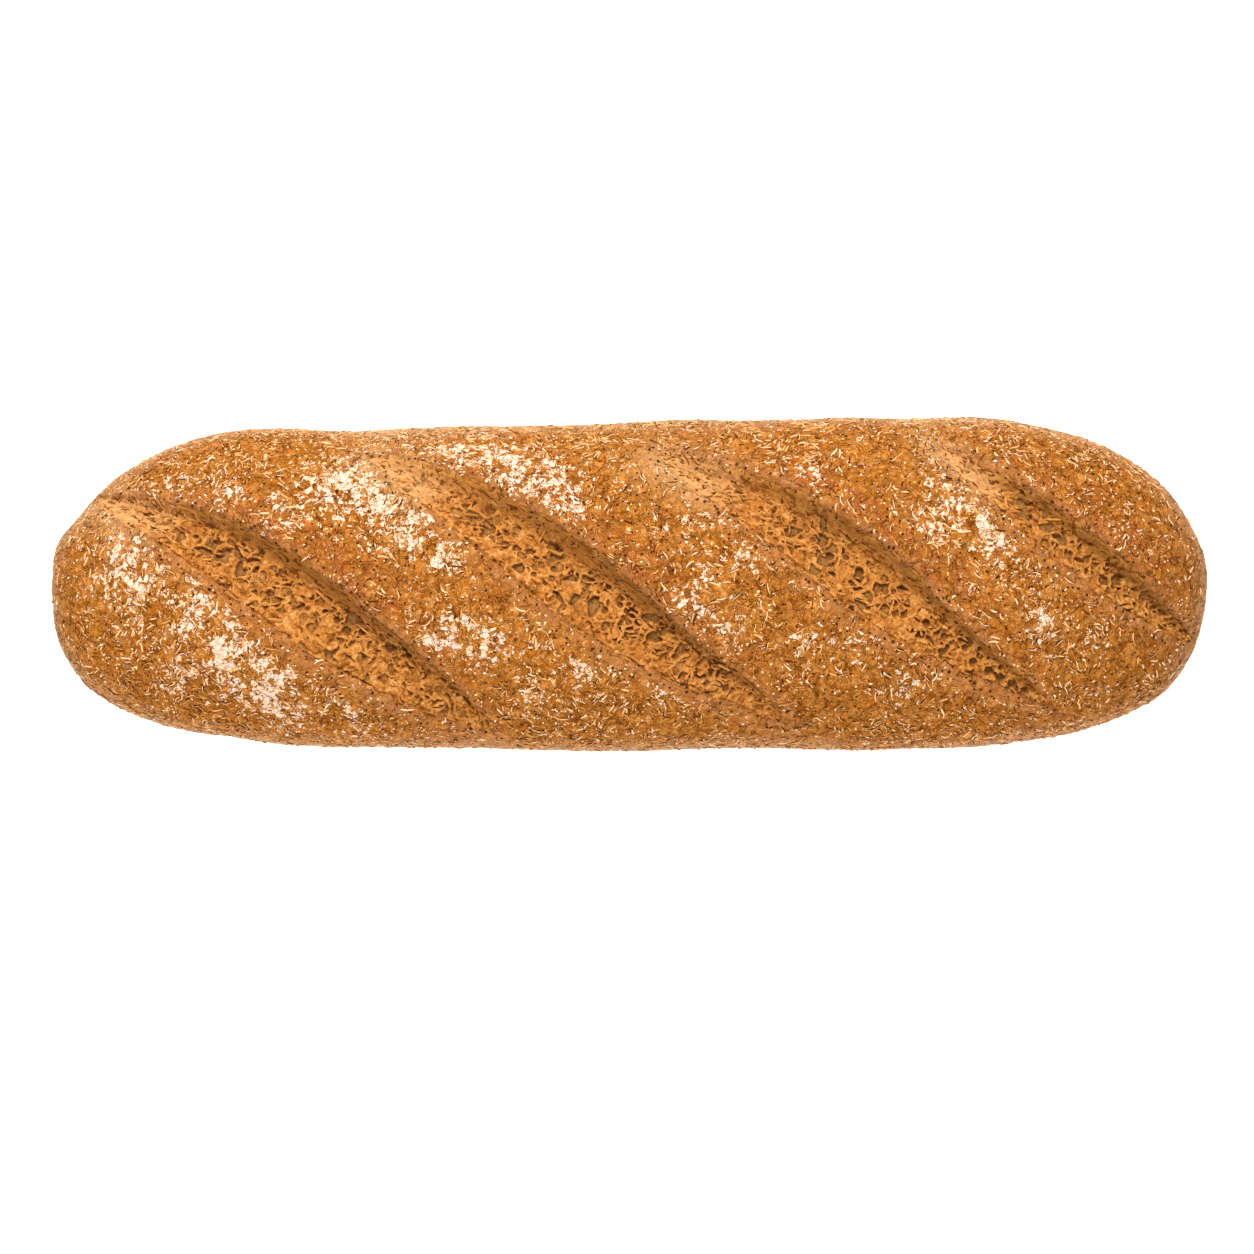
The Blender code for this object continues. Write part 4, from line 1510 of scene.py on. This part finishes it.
def crumb_material():
    shader = Shader("crumb")
    bent = shader.warped(*CRUMB_BEND)
    curled = shader.warped(*CRUMB_CURL, bent)
    groove = shader.attribute("groove")

    # The torn crumb, and its colours by place
    broad = shader.share(shader.noise(BROAD_CRUMB_SIZE, 2.0, 0.5, bent), 0.6)
    fine = shader.noise(FINE_CRUMB_SIZE, 4.0, 0.64, curled)
    tone = shader.math("SUBTRACT", shader.math("ADD", fine, broad), 0.30)
    colour = shader.ramp(tone, (
        (0.30, CRUMB_DARK), (0.40, CRUMB_BROWN), (0.50, CRUMB_ORANGE), (0.61, CRUMB_GOLD), (0.72, CRUMB_TAN),
    ))
    # Painted highlight on the rises of the relief
    colour = shader.tinted(colour, "ridge", 0.45, STRAND_PALE_AND_HIGHLIGHT)
    # The groove: olive where it browned less, and darker still with painted shade
    colour = shader.tinted(colour, "groove", 0.55, GROOVE_SHADE_OLIVE)
    colour = shader.tinted(colour, "pale", 0.50, TIP_TAN)
    # Painted shade on the floors of hollows and pits
    colour = shader.tinted(colour, "hollow", 0.75, HOLLOW_SHADE_OLIVE)
    # Painted shade in the dips of the relief
    colour = shader.tinted(colour, "cavity", 0.55, DARK_MARK_AND_SHADE_BROWN)
    # Painted shade along the foot of each cut's back wall
    colour = shader.tinted(colour, "lip_shade", 0.60, LIP_SHADE_OLIVE)

    # Dark dashes along the cut, and pores, both mostly in the groove
    combed = shader.warped(*DASH_BEND, shader.combed(CUT_DEGREES, DASH_STRETCH))
    dashes = shader.band(shader.noise(DASH_SIZE, 2.0, 0.5, combed), 0.60, 0.66)
    dashes = shader.math("MULTIPLY", dashes, shader.math("ADD", shader.share(groove, 0.8), 0.15))
    colour = shader.mix(dashes, colour, DARK_MARK_AND_SHADE_BROWN)
    dots = shader.cells(CRUMB_PORE_SIZE, "F1", "Distance", bent)
    dots = shader.math("SUBTRACT", dots, shader.share(groove, 0.09))
    often = shader.math("ADD", shader.noise(PORE_PATCH_SIZE), shader.share(groove, 0.06))
    pores = shader.math("MULTIPLY", shader.band(dots, 0.18, 0.12), shader.band(often, 0.46, 0.55))
    colour = shader.mix(shader.share(pores, 0.85), colour, PORE_CRACK_AND_SHADOW_BROWN)
    height = shader.math("SUBTRACT", tone, shader.math("ADD", pores, dashes))
    return shader.finish(colour, shader.bump(height, CRUMB_BUMP))


def strand_material():
    shader = Shader("crumb_strands")
    colour = shader.mix(shader.attribute("tone"), STRAND_DARK, STRAND_PALE_AND_HIGHLIGHT)
    grain = shader.noise(STRAND_GRAIN_SIZE, 3.0, 0.6)
    colour = shader.mix(shader.band(grain, 0.48, 0.70), colour, CRUMB_BROWN)
    return shader.finish(colour, shader.bump(grain, STRAND_BUMP))


def bran_material():
    shader = Shader("bran_flecks")
    return shader.finish(shader.mix(shader.attribute("tone"), DARK_MARK_AND_SHADE_BROWN, CRUMB_BROWN))


def flake_material():
    shader = Shader("crust_flakes")
    # The pale lane is a painted highlight, and the dark lane a crack that is also painted shadow
    light = shader.mix(shader.attribute("light"), HIGHLIGHT_GOLD, GRAIN_AND_HIGHLIGHT_CREAM)
    dark = shader.mix(shader.attribute("dark"), CRUST_ORANGE, PORE_CRACK_AND_SHADOW_BROWN)
    return shader.finish(shader.mix(shader.band(shader.attribute("lane"), 0.40, 0.60), light, dark))


def flour_material():
    shader = Shader("flour")
    grain = shader.noise(FLOUR_GRAIN_SIZE, 3.0, 0.6)
    colour = shader.mix(shader.band(grain, 0.40, 0.62), FLOUR_CREAM, FLOUR_WHITE)
    return shader.finish(colour, shader.bump(grain, FLOUR_BUMP), FLOUR_ROUGHNESS)


def grain_material():
    shader = Shader("bran_grains")
    colour = shader.mix(shader.attribute("tone"), GRAIN_TAN, GRAIN_AND_HIGHLIGHT_CREAM)
    grain = shader.noise(BRAN_GRAIN_SIZE, 2.0)
    return shader.finish(shader.mix(shader.band(grain, 0.6, 0.8), colour, CRUST_BROWN), None, GRAIN_ROUGHNESS)


# The photograph's view: straight down, with its frame's width at the height where the loaf is widest
FRAME_PIXELS = 1254
PIXELS_PER_METRE = 3716
LOAF_MIDDLE_PIXEL = (629, 584)
LENS_MM = 85.0
SENSOR_MM = 36.0

# The pale floor, and the soft light from the sky, from the back and from the front
FLOOR_SIZE = 6.0
FLOOR_GAP = 0.0002
FLOOR_MOTTLE_SIZE = 0.4
FLOOR_DARK = (0.28, 0.28, 0.28, 1.0)
FLOOR_PALE = (0.32, 0.32, 0.32, 1.0)
FLOOR_ROUGHNESS = 0.9
FLOOR_SPECULAR = 0.1
FLOOR_GLOW = 1.1
WHITE = (1.0, 1.0, 1.0, 1.0)
SKY_STRENGTH = 0.70
LAMPS = (
    {"name": "key", "place": (-0.08, 0.60, 0.70), "size": 0.40, "watts": 9.0, "colour": (1.0, 0.99, 0.97)},
    {"name": "fill", "place": (-0.20, -0.80, 0.45), "size": 0.80, "watts": 5.0, "colour": (1.0, 1.0, 1.0)},
)


def make_camera():
    data = bpy.data.cameras.new("camera")
    data.lens = LENS_MM
    data.sensor_width = SENSOR_MM
    camera = bpy.data.objects.new("camera", data)
    bpy.context.scene.collection.objects.link(camera)
    distance = FRAME_PIXELS / PIXELS_PER_METRE * LENS_MM / SENSOR_MM
    x = (FRAME_PIXELS / 2 - LOAF_MIDDLE_PIXEL[0]) / PIXELS_PER_METRE
    y = (LOAF_MIDDLE_PIXEL[1] - FRAME_PIXELS / 2) / PIXELS_PER_METRE
    camera.location = (x, y, WIDEST_HEIGHT + distance)
    bpy.context.scene.camera = camera


def area_light(name, place, size, watts, colour):
    data = bpy.data.lights.new(name, "AREA")
    data.size = size
    data.energy = watts
    data.color = colour
    light = bpy.data.objects.new(name, data)
    light.location = place
    light.rotation_euler = Vector(place).to_track_quat("Z", "Y").to_euler()
    bpy.context.scene.collection.objects.link(light)


def make_stage():
    bpy.ops.mesh.primitive_plane_add(size=FLOOR_SIZE, location=(0.0, 0.0, -FLOOR_GAP))
    floor = bpy.context.object
    floor.name = "floor"
    shader = Shader("floor")
    shade = shader.mix(shader.noise(FLOOR_MOTTLE_SIZE, 2.0), FLOOR_DARK, FLOOR_PALE)
    floor.data.materials.append(shader.finish(shade, None, FLOOR_ROUGHNESS, FLOOR_SPECULAR))
    shader.principled.inputs["Emission Color"].default_value = WHITE
    shader.principled.inputs["Emission Strength"].default_value = FLOOR_GLOW

    world = bpy.data.worlds.new("studio")
    bpy.context.scene.world = world
    world.use_nodes = True
    background = world.node_tree.nodes["Background"]
    background.inputs["Color"].default_value = WHITE
    background.inputs["Strength"].default_value = SKY_STRENGTH

    for lamp in LAMPS:
        area_light(**lamp)
    bpy.context.scene.view_settings.view_transform = "Standard"


make_camera()
make_stage()
make_crust()
make_crumbs()
make_flakes()
make_flour()
make_grains()
